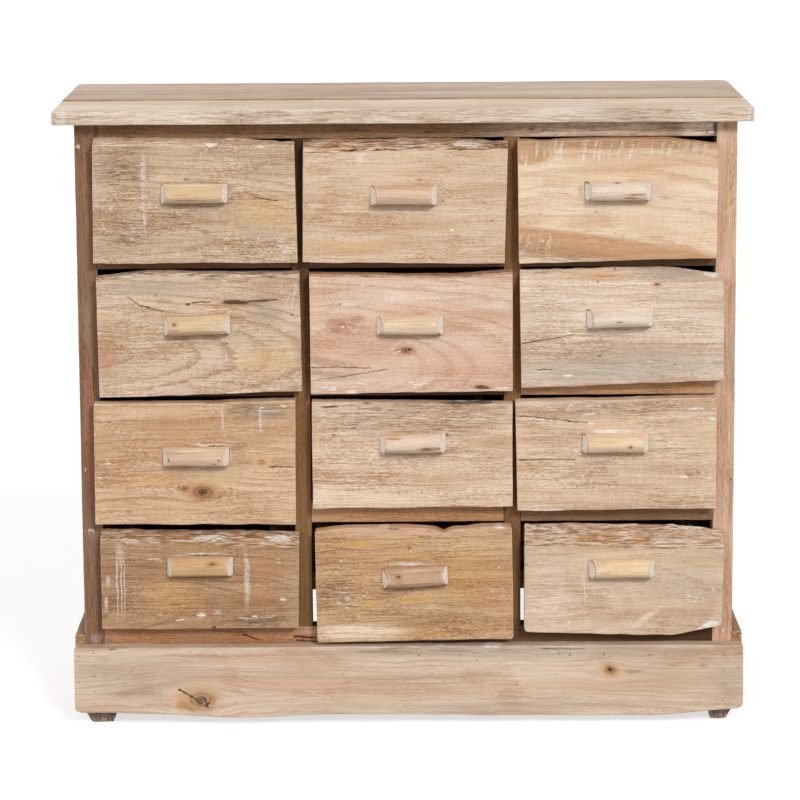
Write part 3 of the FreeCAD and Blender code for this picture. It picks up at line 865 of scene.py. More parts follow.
def make_front(row, column):
    """One drawer front: a sawn board with a live or sawn upper edge."""
    body = drawer_body(row, column)
    node = body + "_front"
    low, high = corners(node)
    box_low, _ = corners(body + "_box")
    left = box_low[0] - BOX_SIDE_CLEARANCE
    bottom = box_low[2] - SLIDE_CLEARANCE
    face, rear = low[1], high[1]
    under = outline(node, face, lambda z: z < bottom + UNDER_BELOW)
    top_face = outline(node, face, lambda z: z > bottom + ROOF_ABOVE)
    top_rear = outline(node, rear, lambda z: z > bottom + ROOF_ABOVE)
    seed = 10 * row + column
    waned = np.mean(np.interp(top_rear[0], *top_rear) - np.interp(top_rear[0], *top_face)) >= WANE

    def shape(share):
        across, back, up = share.T
        left_x = under[0][0] + (top_face[0][0] - under[0][0]) * up
        right_x = under[0][-1] + (top_face[0][-1] - under[0][-1]) * up
        x = left_x + (right_x - left_x) * across
        drop = np.clip(1 - back, 0, 1) ** 1.4
        roof = follow(top_rear, x) * (1 - drop) + follow(top_face, x) * drop
        away = np.stack([x / 13, back * 2.5, np.full(len(x), seed)], 1)
        torn = noise(away, seed) * 1.1 + noise(away * 2.7, seed + 5) * 0.6
        roof = roof + torn * (1.0 if waned else SAWN_ROUGHNESS)
        for place, half_width, depth in NOTCHES.get((row, column), ()):
            roof = roof - depth * np.exp(-((x - left - place) / half_width) ** 2 * 2)
        floor = follow(under, x) + line_noise(x, 22, seed + 7) * 0.7
        z = floor + (roof - floor) * up
        x, z = rounded(x, z, (left_x, floor), (right_x, roof), CORNERS.get((row, column), CORNER))
        return np.stack([x, face + (rear - face) * back, z], 1)

    skin = board(low, high, 0, 2, seed, step=4.5, wave=0.3, shape=shape, origin=(left, rear, bottom))
    edge = np.interp(skin["points"][:, 0], *(top_face if waned else top_rear))
    reach = skin["points"][:, 2] - edge + BARK_DEPTHS.get((row, column), BARK_DEPTH)
    skin["bark"] = np.clip(reach / BARK_FADE, 0, 1)
    wood = Wood("front_r%dc%d" % (row, column), seed, kerf=FRONT_KERF, **FRONTS[(row, column)])
    piece(node + "_board", [skin], wood.owner, body, [node])


for drawer in DRAWERS:
    make_front(*drawer)


# Handles: split and peeled branches, some whittled flat, with both ends cut at a slant.
# Places of marks are measured from the middle of the handle, along it and up its round.

# How far the cut faces slant, how flat the round is, and how high the middle of a cut face lies
HANDLE_BEVEL = 9.0
HANDLE_FLATNESS = 0.88
HANDLE_HUB = 0.4
# Width of the flat back and radius of the round, as shares of the CAD handle's
HANDLE_BASE = 0.9
HANDLE_ROUND = 0.955
# Points round the handle, rings along it, and rings on each cut face
HANDLE_ROUNDS = 30
HANDLE_RINGS = 30
CAP_SHARES = (0.94, 0.72, 0.45, 0.2)
# How far out a flat is cut, as a share of the radius, and how far from the ends it dips
FACET_CUT = 0.91
FACET_DIP = 14
# Light, middle and dark of the wood as shares of its tone
HANDLE_TONES = (1.06, 0.98, 0.8)
END_DARK = colour(140, 104, 76)
END_PALE = colour(253, 244, 231)
# The cut faces have a dark rim, stronger at the left end as painted shade: how much of the left end's rim the
# right end has
RIM_RIGHT = 0.3
# Painted shade along the round's lower edge: degrees down from level where it starts, and until it is full
UNDER_SHADE_FROM = 54.0
UNDER_SHADE_REACH = 24.0
UNDER_SHADE_SHARE = 0.9
# Both ends are whittled pale
WHITTLED = "pale 39 0 6 20 .7 / -39 0 6 20 .7"
HANDLES = {
    # On this handle the brown streak low on its round, at -8 -11, is painted shade of the lower facet
    (1, 1): dict(tone=(221, 195, 162), facets=(62, 8, -42), marks="""
    gold 0 3 34 9 .6
    brown -8 -11 28 2 1 / -18 0 14 1.2 .6
    white -12 -14 22 1.8 .6
    pale 0 16 42 3.4 .8
    dot 15 -13 1.6
    """),
    (1, 2): dict(tone=(215, 186, 159), facets=(), rim=0.9, marks="""
    pale 0 -11 38 4 .5
    gold 26 -4 8 4 .4
    red 0 14 40 4 .35
    brown 38 -3 3 5 .6
    """),
    (1, 3): dict(tone=(231, 212, 195), facets=(), rim=1.3, marks="""
    orange 24 -4 20 2 1 / 16 -10 13 2.6 1 / 40 -6 4 7 1 / -34 -13 8 1.6 .8
    brown 24 -4 18 1.3 1 / 16 -10 10 1.4 1
    knot 0 16 4 2 .9
    """),
    (2, 1): dict(tone=(215, 188, 154), facets=(55, 4, -50), tilt=1.3, marks="""
    knot -28 6 3.6 3.6 1
    brown -27 -4 8 1.8 1 / 10 4 26 1.2 .4
    white 30 -4 8 3 .5
    """),
    (2, 2): dict(tone=(229, 206, 176), facets=(58, 20, -18, -52), marks="""
    white -26 -7 12 3 .8
    brown 8 3 24 1.2 .5
    gold 4 7 32 3 .6
    """),
    (2, 3): dict(tone=(236, 221, 204), facets=(), tilt=1.5, rim=1.3, marks="""
    orange 0 -3 7 2 .9 / 4 15 10 1.4 .7
    brown 38 12 3 3 .4
    """),
    (3, 1): dict(tone=(217, 188, 161), facets=(48, -20), marks="""
    dark -33 -1 1.4 4 .8 / 25 -9 6 1.6 .8 / 31 -3 2 4 .7
    brown -27 -5 8 1 .8 / -20 10 8 1.2 .6
    pale 0 15 40 4 .4
    """),
    (3, 2): dict(tone=(223, 201, 180), facets=(), tilt=1.0, marks="""
    orange -24 11 14 2.6 1
    knot 18 -8 9 4 1 / 33 -7 4 2 .8
    dot 27 -9 1.6 / 12 -11 1.4 / -34 -6 1.6
    """),
    (3, 3): dict(tone=(240, 214, 183), facets=(60, 16, -30), rim=0.9, marks="""
    knot 18 -4 3.4 3.4 1
    pale 18 -5 6 6 .7
    gold -10 4 24 3 .6
    """),
    (4, 1): dict(tone=(218, 182, 138), facets=(40, -25), marks="""
    knot 18 8 8 4 .9
    brown 14 3 9 1 .7 / -10 8 20 1 .4
    """),
    (4, 2): dict(tone=(200, 166, 139), facets=(54, 0, -48), tilt=2.8, rim=1.0, marks="""
    knot -23 6 4 3.6 1
    red -22 -2 9 6 .6 / 10 2 26 2 .4
    white 26 -7 5 2 .65
    pale 6 -14 30 2.4 .5 / 0 14 38 3 .5
    """),
    (4, 3): dict(tone=(234, 207, 170), facets=(), tilt=0.5, rim=1.2, marks="""
    gold 10 8 30 3 .5
    brown 0 -16 30 1 .4
    """),
}


def handle_skin(middle, length, base, depth, facets, tilt, rim_shade_share, seed):
    """Closed skin of one split branch, flat at the back, as rings along X with a cut face at each end."""
    radius = (base ** 2 / 4 + depth ** 2) / (2 * depth)
    centre = depth - radius
    reach = math.atan2(base / 2, -centre)
    angles = np.linspace(-reach, reach, HANDLE_ROUNDS)
    zero = angles * 0
    rings, grain = [], []

    def ring(share, shrink):
        at = zero + (share - 0.5) * length
        r = radius * (HANDLE_ROUND + noise_of(at / 24, angles * 2.2, zero, seed) * 0.05
                      + noise_of(at / 7, angles * 5, zero + 9, seed) * 0.014)
        for k, flat in enumerate(facets):
            cosine = np.maximum(np.cos(angles - math.radians(flat)), 0.3)
            near_end = np.clip((abs(at) - length / 2 + FACET_DIP) / FACET_DIP, 0, 1) ** 2
            sway = FACET_CUT + 0.04 * noise_of(at / 30, zero + k, zero, seed + 3) - 0.16 * near_end
            r = np.minimum(r, radius * sway / cosine)
        out = np.clip(np.cos(angles) * r + centre, 0, depth - 0.1)
        out[[0, -1]] = 0.0
        up = np.sin(angles) * r * HANDLE_FLATNESS
        side = 1 - 2 * share
        x = at + HANDLE_BEVEL * out / depth * side * abs(side) ** 6
        hub = depth * HANDLE_HUB
        if shrink < 1:
            x_hub = at[0] + HANDLE_BEVEL * hub / depth * side
            rough = noise_of(angles * 4, zero + shrink * 6, zero, seed + 8) * 0.25
            x = x_hub + (x - x_hub) * shrink + rough
        out = hub + (out - hub) * shrink
        up = up * shrink
        rings.append(np.stack([x, -out, up], 1))
        grain.append(np.stack([x, angles * radius * shrink, out], 1))

    for share in reversed(CAP_SHARES):
        ring(0.0, share)
    for share in [0.0, 0.008, *np.linspace(0, 1, HANDLE_RINGS)[1:-1], 0.992, 1.0]:
        ring(share, 1.0)
    for share in CAP_SHARES:
        ring(1.0, share)
    points = np.concatenate(rings)
    count = HANDLE_ROUNDS
    faces = []
    for i, j in itertools.product(range(len(rings) - 1), range(count)):
        a, b = i * count + j, i * count + (j + 1) % count
        faces.append((a, a + count, b + count, b))
    faces += [tuple(range(count)), tuple(range(len(points) - 1, len(points) - count - 1, -1))]
    caps = len(CAP_SHARES)
    cut = np.zeros(len(rings))
    cut[:caps] = cut[-caps:] = 1.0
    turn = math.radians(tilt)
    turned = points.copy()
    turned[:, 0] = points[:, 0] * math.cos(turn) - points[:, 2] * math.sin(turn)
    turned[:, 2] = points[:, 0] * math.sin(turn) + points[:, 2] * math.cos(turn)
    # A dark rim round each cut face, stronger at the left end, where it is painted shade
    rim = np.zeros((len(rings), count))
    ragged = 0.55 + 0.6 * noise_of(angles * 2.5, zero, zero, seed + 4) + 0.25 * np.sin(angles)
    for away, amount in ((-1, 0.6), (0, 1.0), (1, 0.6)):
        rim[caps + away] = amount * ragged
        rim[-caps - 1 - away] = amount * RIM_RIGHT * ragged[::-1]
    # Painted shade along the underside of the round, where it meets the front
    under = np.clip((np.degrees(-angles) - UNDER_SHADE_FROM) / UNDER_SHADE_REACH, 0, 1) * UNDER_SHADE_SHARE
    under_shade_wobble = 0.95 + 0.3 * line_noise(np.arange(len(rings)) * 1.0, 3.5, seed + 6)
    under_shade_wobble[:caps] = under_shade_wobble[-caps:] = 0.0
    rim = np.maximum(rim * rim_shade_share, under * under_shade_wobble[:, None])
    return make_skin(turned + middle, faces, np.concatenate(grain), bark=np.repeat(cut, count),
                     tone=np.clip(rim, 0, 1).ravel())


class HandleWood(Wood):
    """Peeled branch, with pale grey end grain where it is cut."""

    def finish(self, tone_and_shade_tint):
        cut = self.step(self.attribute("bark") + (self.flake - 0.5) * 0.3, 0.4, 0.7)
        dots = self.noise(self.joined(self.along * 0.7, self.height * 0.8, self.depth * 0.8), 2.0, 0.7)
        self.lay(cut * 0.95, self.mix(self.step(dots, 0.34, 0.47), END_DARK, END_PALE))
        super().finish(tone_and_shade_tint)


def make_handle(row, column):
    body = drawer_body(row, column)
    node = body + "_handle"
    low, high = corners(node)
    face = corners(body + "_front")[0][1]
    look = HANDLES[(row, column)]
    middle = np.array([(low[0] + high[0]) / 2, face, (low[2] + high[2]) / 2])
    seed = 60 + 3 * row + column
    skin = handle_skin(middle, high[0] - low[0], HANDLE_BASE * (high[2] - low[2]), face - low[1],
                       look["facets"], look.get("tilt", 0), look.get("rim", 0.5), seed)
    tones = [[min(255, round(part * share)) for part in look["tone"]] for share in HANDLE_TONES]
    wood = HandleWood("handle_r%dc%d" % (row, column), seed, *tones, rings=(0, -60, 9, 5),
                      marks=WHITTLED + look["marks"], contrast=0.5, ring_share=0.3, tone_and_shade_tint=(122, 76, 44))
    piece(node + "_branch", [skin], wood.owner, body, [node])


for drawer in DRAWERS:
    make_handle(*drawer)


# Carcass boards

# The frame woods' tint is the painted shade that their tone attribute lays on
frame_wood = Wood("frame_wood", 3, (216, 176, 136), (196, 154, 112), (146, 102, 64), rings=(0, -400, 9, 7),
                  tone_and_shade_tint=(62, 34, 12))
mullion_wood = Wood("mullion_wood", 22, (198, 154, 104), (178, 130, 78), (130, 88, 46), rings=(0, -400, 9, 7),
                    tone_and_shade_tint=(52, 30, 10))
rail_bottom_wood = Wood(
    "rail_bottom_wood", 21, (200, 156, 118), (182, 136, 98), (134, 90, 56), rings=(0, -400, 9, 7), run=1.5,
    tone_and_shade_tint=(62, 34, 12), marks="""
    crack 184 15 208 5 1 / 250 11 282 8 1.4 / 252 5 284 3 .8
    dark 268 9 16 3 .6 / 12 3 10 2 .6
    orange 200 9 40 8 .4
    pink 272 18 16 8 .6
    """)
# The top rail's pale marks towards its right end are painted light, where light reaches under the top's
# overhang
rail_top_wood = Wood(
    "rail_top_wood", 4, (168, 132, 96), (140, 106, 72), (92, 62, 38), rings=(200, -90, 12, 5), marks="""
    pale 640 10 160 18 .75 / 650 3 140 7 .5 / 770 10 34 18 .9
    knot 560 11 6 3 .9
    white 792 8 8 12 .6
    dot 786 4 2 / 776 16 1.4 / 782 15 1.4
    dark 430 8 12 1.6 .6 / 3 10 2 14 .9 / 797 10 2.4 14 .9
    """)
post_left_wood = Wood(
    "post_left_wood", 5, (148, 112, 88), (134, 99, 75), (100, 69, 49), rings=(0, -120, 9, 6), ring_share=0.15,
    run=0.8, marks="""
    grey 540 11 60 8 .25 / 250 10 40 8 .25 / 115 14 10 8 .6
    knot 508 9 7 4 .5 / 375 8 6 2 .6
    gold 690 14 90 9 .12
    orange 645 17 30 2 .5
    fleck 768 4 2
    white 768 6 6 3 .6 / 342 6 6 4 .55 / 261 10 6 9 .62
    crack 480 18 440 20 .3
    brown 184 12 3 8 .5
    red 400 14 120 12 .3
    """)
post_right_wood = Wood(
    "post_right_wood", 6, (226, 197, 170), (209, 175, 147), (168, 128, 96), rings=(0, -120, 9, 7),
    run=1.6, marks="""
    knot 786 10 4 3 .7
    orange 560 20 45 3 .5
    gold 640 21 60 3 .5
    white 378 19 32 2 .6 / 123 16 8 5 .5
    brown 300 23 60 3 .6
    dot 323 22 2.4
    red 180 14 120 14 .35
    pink 700 8 90 8 .5 / 740 6 60 9 .6
    pale 750 6 70 10 .6
    grey 470 22 60 3 .5
    """)
panel_wood = Wood(
    "panel_wood", 7, (222, 196, 168), (202, 172, 141), (146, 110, 80), rings=(-40, -160, 7, 9), lime=0.25,
    tone_and_shade_tint=(140, 104, 74), marks="""
    knot 88 96 8 5 .9 / 196 404 11 7 1 / 60 604 5 3 .8
    gold 200 404 40 18 .5 / 60 230 60 20 .4
    brown 150 300 60 12 .4 / 220 560 70 16 .4
    crack 262 52 200 55 .5 / -2 470 60 474 .6
    grey 120 640 120 40 .4 / 40 40 60 30 .4
    white 210 250 20 2 .6 / 90 520 26 2 .6
    """)
back_wood = Wood(
    "back_wood", 23, (214, 188, 160), (192, 162, 132), (136, 102, 74), rings=(-90, 200, 9, 10), lime=0.25,
    tone_and_shade_tint=(130, 96, 68), marks="""
    knot 210 70 12 7 1 / 520 205 9 6 .9 / 96 330 13 8 1 / 430 452 7 5 .9 / 610 590 12 8 1 / 250 705 8 5 .8
    gold 210 80 50 16 .5 / 610 600 60 22 .5
    brown 560 330 90 20 .4 / 140 520 80 20 .4
    grey 60 200 60 120 .4 / 640 420 60 140 .35
    crack 684 128 610 132 .7 / 2 388 70 384 .6 / 684 655 640 660 .4
    white 330 300 24 2 .6 / 480 640 20 2 .6
    """)
plinth_left, _, _ = corners("plinth_front")[0]
brads = [(low + high) / 2 for low, high in solids("plinth_nails")]
plinth_wood = Wood(
    "plinth_wood", 8, (224, 204, 183), (206, 183, 159), (172, 143, 116), rings=(380, -190, 7, 8),
    contrast=0.62, run=1.8, lime=0.05, marks="""
    knot 166 37 21 14 .75 / 704 74 9 7 1
    gold 158 42 36 22 .8 / 704 72 20 14 .7
    orange 182 36 6 14 .5 / 140 30 12 8 .4
    crack 138 51 176 27 .9 / 170 40 178 26 .5
    dark 176 31 4 5 .8 / 166 32 6 3 .6 / 640 104 60 2 .5 / 50 105 10 1.2 .6
    pink 300 56 190 10 .5 -2 / 620 52 180 9 .45 1 / 260 88 150 7 .45 / 130 74 60 6 .5
    brown 150 28 14 4 .6 -30 / 732 73 22 2 .7 / 76 47 48 5 .5 / 735 72 20 3 .6 / 829 79 9 4 .5
    brown 790 80 14 2 .5
    brown 470 68 110 6 .3 / 760 102 110 3 .5 -2 / 20 106 30 3 .5
    grey 80 70 120 34 .4 / 600 100 300 13 .7 / 560 26 360 8 .45 / 860 60 30 50 .4
    dot 78 80 1.4 / 581 54 1.8 / 455 96 1.8 / 508 95 1.6 / 526 98 1.5 / 530 88 1.5 / 638 98 1.8
    dot 652 96 1.8 / 696 96 1.8 / 757 95 1.6
    white 550 107 22 2.4 .75 / 560 108 300 1.8 .5
    rough 470 103 180 8 .5
    """ + "".join("\nbrad %.2f %.2f 1.3" % (middle[0] - plinth_left, middle[2]) for middle in brads))
end_wood = Wood("end_wood", 9, (190, 156, 122), (164, 130, 96), (112, 80, 54), bark=(0.9, 0.8, 0.3))
top_front_wood = Wood(
    "top_front_wood", 10, (246, 235, 218), (239, 223, 203), (200, 174, 146), rings=(400, -900, 12, 8),
    ring_share=0.35, contrast=0.9, run=2.0, lime=0.05, bark=(0.34, 0.12, 0.5), marks="""
    white 257 0 90 7 .4 / 428 0 40 6 .38 / 545 0 44 6 .45 / 690 2 60 5 .4 / 800 3 60 5 .45
    white 12 0 12 6 .6 / 893 4 4 8 .6
    dark 735 3 70 1.8 .4 / 313 134 24 5 .8
    brown 280 0 100 2 .5 / 745 1 80 3 .5 / 60 4 50 4 .4
    grey 450 -1 470 4 .18 / 740 6 110 8 .3 / 560 34 400 18 .35 / 200 100 220 34 .3
    gold 560 62 330 4 .7 -.4 / 150 -8 200 4 .4 / 500 -12 300 4 .4
    pink 300 12 300 8 .3
    orange 450 133 460 3 .8 -.76 / 60 136 44 8 .8
    fleck 62 135 5 / 208 60 3 / 250 66 2
    knot 244 3 4 3 .4
    """)
top_middle_wood = Wood(
    "top_middle_wood", 11, (214, 197, 176), (198, 178, 155), (154, 128, 104), rings=(400, -900, 12, 7),
    ring_share=0.45, contrast=0.9, run=2.0, bark=(0.2, 0.8, 0.0), marks="""
    orange 60 2 44 8 .7 / 520 44 160 4 .5
    pale 700 70 300 60 .5
    brown 240 6 120 8 .6 / 300 139 400 4 .6
    grey 650 40 240 30 .4
    """)
top_rear_wood = Wood(
    "top_rear_wood", 12, (225, 206, 192), (209, 185, 168), (166, 137, 119), rings=(400, -900, 12, 8),
    contrast=0.8, run=2.0, marks="""
    chalk 230 20 8 6 .5
    pink 220 30 330 30 .7
    """)
inner_wood = Wood("inner_wood", 13, (198, 166, 132), (180, 146, 112), (136, 102, 72), rings=(0, -200, 8, 8))
foot_wood = Wood("foot_wood", 14, (192, 172, 154), (146, 127, 110), (80, 65, 55), rings=(0, -60, 5, 4),
                 contrast=1.4, lime=0.4)


# How far the boards of one panel lie apart in the grain, so that none goes on in the next
BOARD_SHIFT = 60.0
# Painted shade on the mullions at these heights, where the drawer fronts shade them, and tones of the bottom
# rail at these places: 0 is plain, 1 is dark
MULLION_HEIGHTS = (129, 260, 420, 600, 775)
MULLION_SHADE = {"left": (0.6, 0.5, 0.45, 0.8, 0.97), "right": (0.6, 0.6, 0.5, 0.55, 0.5)}
RAIL_PLACES = (-390, -100, 0, 400)
RAIL_TONES = (0.0, 0.15, 0.65, 0.95)


def plain_boards(node, along, across, wood, slot, seed, tones=(0.0,), marked=False, **settings):
    """A piece with one worn board for each solid of a CAD node.

    Where marked, the marks are placed from the lowest corner of the whole node.
    """
    skins = []
    for i, (low, high) in enumerate(solids(node)):
        origin = None
        if marked:
            origin = corners(node)[0]
            origin[3 - along - across] -= BOARD_SHIFT * i
        tone = tones[i % len(tones)]
        skins.append(board(low, high, along, across, seed + 11 * i, tone=tone, origin=origin, **settings))
    piece(node + "_boards", skins, wood.owner, "carcass", [node])


def make_posts():
    for side, wood in (("left", post_left_wood), ("right", post_right_wood)):
        for end in ("front", "rear"):
            node = "post_%s_%s" % (end, side)
            low, high = corners(node)
            skin = board(low, high, 2, 0, 100 + len(node), wear=1.8, origin=(low[0], low[1], 0))
            carcass_board(node, skin, wood)
    for side, seed in (("left", 140), ("right", 150)):
        node = "mullion_" + side
        skin = board(*corners(node), 2, 0, seed)
        # The mullions' tone is painted shade, darker where the drawer fronts shade them
        skin["tone"] = np.interp(skin["points"][:, 2], MULLION_HEIGHTS, MULLION_SHADE[side])
        carcass_board(node, skin, mullion_wood)


def make_rails():
    plain_boards("rail_top", 0, 2, rail_top_wood, "frame_wood", 160, marked=True)
    # The rails' tones are painted shade under the drawer fronts; the lit third board of the second row has
    # none
    for row, tones in ((1, (0.62, 0.7, 0.86)), (2, (0.85, 0.85, 0.0)), (3, (0.8, 0.15, 0.6))):
        plain_boards("rail_row_%d" % row, 0, 2, frame_wood, "frame_wood", 160 + 10 * row, tones)
    low, high = corners("rail_bottom")
    skin = board(low, high, 0, 2, 210, origin=low)
    skin["tone"] = np.interp(skin["points"][:, 0], RAIL_PLACES, RAIL_TONES)
    carcass_board("rail_bottom", skin, rail_bottom_wood)


def make_panels():
    for node, along, across, wood, seed, tones in (
        ("side_panel_left", 1, 2, panel_wood, 220, (0.1, 0.25, 0.0, 0.15)),
        ("side_panel_right", 1, 2, panel_wood, 270, (0.15, 0.0, 0.25, 0.1)),
        ("back_panel", 2, 0, back_wood, 330, (0.1, 0.25, 0.0, 0.3, 0.05, 0.2)),
    ):
        plain_boards(node, along, across, wood, "panel_wood", seed, tones, True, step=9)
    plain_boards("rear_rails", 0, 2, inner_wood, "inner_wood", 400, step=12)


# How much lower the front board of the top is than the others, and the gap behind it
TOP_STEP = 1.4
GLUE_GAP = 0.3
# Radius of the outer corners of the top's front and rear boards, and of the plinth's
TOP_CORNER = 8.0
REAR_CORNER = 16.0
PLINTH_CORNER = 5.0
# How far back the weathered front edge and the stain behind the joint reach
WEATHER_REACH = 3.5
STAIN_REACH = 6
# How much of the worn colour the other edges of the top have
EDGE_SHARE = 0.3


def setback(x, ends, radius):
    """How far a rounded corner of this radius leaves the edge at x."""
    gap = np.clip(radius - np.minimum(x - ends[0], ends[1] - x), 0, radius)
    return radius - np.sqrt(radius ** 2 - gap ** 2)


def make_top():
    front, middle, rear = [corners("top_board_" + name) for name in ("front", "middle", "rear")]
    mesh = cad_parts["top_board_front"].data
    points = np.array([v.co for v in mesh.vertices]) / MM
    left_joint = points[points[:, 0] < front[0][0] + 0.1][:, 1].max()
    right_joint = points[points[:, 0] > front[1][0] - 0.1][:, 1].max()

    def joint(x):
        share = (x - front[0][0]) / (front[1][0] - front[0][0])
        return left_joint + (right_joint - left_joint) * share

    def shaped(box, y_low, y_high, corner_low=0.01, corner_high=0.01, drop=0.0):
        left, right = box[0][0], box[1][0]

        def shape(share):
            x = left + (right - left) * share[:, 0]
            y0 = y_low(x) + setback(x, (left, right), corner_low)
            y1 = y_high(x) - setback(x, (left, right), corner_high)
            z = front[0][2] + (front[1][2] - drop - front[0][2]) * share[:, 2]
            return np.stack([x, y0 + (y1 - y0) * share[:, 1], z], 1)
        return shape

    def front_edge(x):
        return front[0][1] + line_noise(x, 60, 5) * 0.5 + 0.5

    front_shape = shaped(front, front_edge, joint, TOP_CORNER, drop=TOP_STEP)
    middle_shape = shaped(middle, lambda x: joint(x) + GLUE_GAP, lambda x: x * 0 + middle[1][1])
    rear_shape = shaped(rear, lambda x: x * 0 + rear[0][1], lambda x: x * 0 + rear[1][1],
                        corner_high=REAR_CORNER)
    for name, wood, (low, high), shape, wear in (
        ("front", top_front_wood, front, front_shape, 2.6),
        ("middle", top_middle_wood, middle, middle_shape, 1.0),
        ("rear", top_rear_wood, rear, rear_shape, 1.2),
    ):
        skin = board(low, high, 0, 1, 510 + len(name), wear=wear, shape=shape, origin=low)
        y = skin["points"][:, 1]
        if name == "front":
            skin["bark"] = np.clip((low[1] + WEATHER_REACH - y) / 2, 0, 1)
        if name == "middle":
            skin["bark"] = np.clip((joint(skin["points"][:, 0]) + STAIN_REACH - y) / 3, 0, 1)
        inner = (y > low[1] + 3) | (name != "front")
        skin["edge"] = np.where(inner, skin["edge"] * EDGE_SHARE, skin["edge"])
        carcass_board("top_board_" + name, skin, wood)


def make_plinth():
    low, high = corners("plinth_front")
    under = outline("plinth_front", low[1], lambda z: z < 30)

    def shape(share):
        x = low[0] + (high[0] - low[0]) * share[:, 0]
        floor = follow(under, x, 5.0) + line_noise(x, 35, 3) * 0.5
        roof = high[2] + line_noise(x, 70, 4) * 0.5 - 0.5
        z = floor + (roof - floor) * share[:, 2]
        x, z = rounded(x, z, (low[0], floor), (high[0], roof), PLINTH_CORNER)
        return np.stack([x, low[1] + (high[1] - low[1]) * share[:, 1], z], 1)

    skin = board(low, high, 0, 2, 480, wear=2.2, wave=0.6, shape=shape, origin=(low[0], low[1], 0))
    carcass_board("plinth_front", skin, plinth_wood)
    for side in ("left", "right"):
        low_end, high_end = corners("plinth_" + side)
        skin = board(low_end, high_end, 1, 2, 460 + len(side), wear=2.0, chips=3.0)
        skin["bark"] = np.clip((low_end[1] + 1.5 - skin["points"][:, 1]) / 1.5, 0, 1)
        carcass_board("plinth_" + side, skin, end_wood)


# The outer side of a foot leans in below this height, by this share
TAPER_HEIGHT = 9.0
TAPER = 0.95


def make_feet():
    """Rough blocks, tapered low down on their outer side."""
    skins = []
    for i, (low, high) in enumerate(solids("feet")):
        outward = 0 if low[0] < 0 else 1

        def shape(share, low=low, high=high, outward=outward):
            z = low[2] + (high[2] - low[2]) * share[:, 2]
            taper = np.clip(TAPER_HEIGHT - z, 0, TAPER_HEIGHT) * TAPER
            x0 = low[0] + taper * (1 - outward)
            x1 = high[0] - taper * outward
            y = low[1] + (high[1] - low[1]) * share[:, 1]
            return np.stack([x0 + (x1 - x0) * share[:, 0], y, z], 1)

        skins.append(board(low, high, 2, 0, 500 + 7 * i, wear=1.8, chips=3.0, wave=0.8, step=4, shape=shape))
    piece("feet_blocks", skins, foot_wood.owner, "carcass", ["feet"])


for make in (make_posts, make_rails, make_panels, make_top, make_plinth, make_feet):
    make()


# Drawer boxes. Boards lower than this are their bottoms.

BOTTOM_BELOW = 20


def make_box(row, column):
    body = drawer_body(row, column)
    node = body + "_box"
    skins = []
    for i, (low, high) in enumerate(solids(node)):
        size = high - low
        along = 0 if size[0] > size[1] else 1
        across = 1 - along if size[2] < BOTTOM_BELOW else 2
        skins.append(board(low, high, along, across, 600 + 40 * row + 10 * column + i, wear=0.8, step=14))
    piece(node + "_boards", skins, inner_wood.owner, body, [node])


# Steel: brads in the plinth and screws that hold the handles

class Steel(Graph):
    """Dull steel with a little rust."""

    def __init__(self):
        super().__init__(bpy.data.materials.new("steel"))
        place = self.vector("MULTIPLY", self.add("TexCoord", {}, 3), (1 / MM,) * 3)
        spots = self.noise(self.vector("MULTIPLY", place, (0.8, 0.8, 0.8)), 3.0)
        base = self.mix(self.step(spots, 0.45, 0.65), colour(92, 86, 80), colour(104, 70, 48))
        shader = self.add("BsdfPrincipled", {
            "Base Color": base,
            "Metallic": 0.7,
            "Roughness": self.step(spots, 0.3, 0.7, 0.35) + 0.35,
        })
        self.add("OutputMaterial", {"Surface": shader})


steel = Steel()
SCREW_SLOT = 0.5
SCREW_HEAD = 2.6
# Where the head's skin is cut, as shares of its radius out from the slot
HEAD_CUTS = (0.3, 0.55, 0.8, 1)


def screw_skin(x, y, z, radius):
    """Domed head with a slot, standing inwards from the back of a drawer front."""
    slot = SCREW_SLOT / radius
    half = [slot, slot + 0.02, *HEAD_CUTS]
    cuts = np.array([-cut for cut in reversed(half)] + half)
    places, faces = box_skin([cuts, np.array([0, 0.5, 1.0]), cuts])
    u, depth, v = places.T
    out_x = u * np.sqrt(1 - v ** 2 / 2) * radius
    out_z = v * np.sqrt(1 - u ** 2 / 2) * radius
    dome = SCREW_HEAD * (1 - 0.35 * (out_x ** 2 + out_z ** 2) / radius ** 2)
    dome = np.where((abs(u) <= slot + 0.001) & (depth > 0.9), dome * 0.55, dome)
    points = np.stack([x + out_x, y + depth * dome, z + out_z], 1)
    return make_skin(points, faces, points)


def make_screws(row, column):
    body = drawer_body(row, column)
    inner_face = corners(body + "_front")[1][1]
    skins = []
    for low, high in solids(body + "_handle"):
        if high[1] > inner_face:
            middle = (low + high) / 2
            skins.append(screw_skin(middle[0], inner_face, middle[2], (high[0] - low[0]) / 2))
    piece(body + "_screws", skins, steel.owner, body)


for drawer in DRAWERS:
    make_box(*drawer)
    make_screws(*drawer)

runner_wood = Wood("runner_wood", 15, (196, 162, 126), (174, 138, 104), (130, 96, 66), cad_axes=(1, 2, 0))
for node, graph in (("plinth_nails", steel), ("drawer_runners", runner_wood)):
    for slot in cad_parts[node].material_slots:
        slot.material = graph.owner


# Floor, light and camera

FLOOR_HALF = 30.0
FLOOR_GREY = (0.6, 0.6, 0.6, 1)
FLOOR_GLOW = 0.66
WORLD_LEVEL = 0.336
# Where each lamp stands (0 is in front of the drawers, 90 to their right), how high, its strength and width
SUNS = {"key": (24, 30, 1.87, 13), "fill": (-45, 24, 0.85, 50), "back": (200, 15, 0.75, 60)}
CAMERA_PLACE = (-0.0034, -4.37685, 1.2329)
CAMERA_DOWN = 9.618
CAMERA_ROLL = 0.345


def seen_itself(graph):
    """1 for rays of the camera, of a reflection and through glass, 0 for rays of light."""
    rays = [graph.add("LightPath", {}, "Is %s Ray" % kind) for kind in ("Camera", "Glossy", "Transmission")]
    return graph.either(graph.either(rays[0], rays[1]), rays[2])


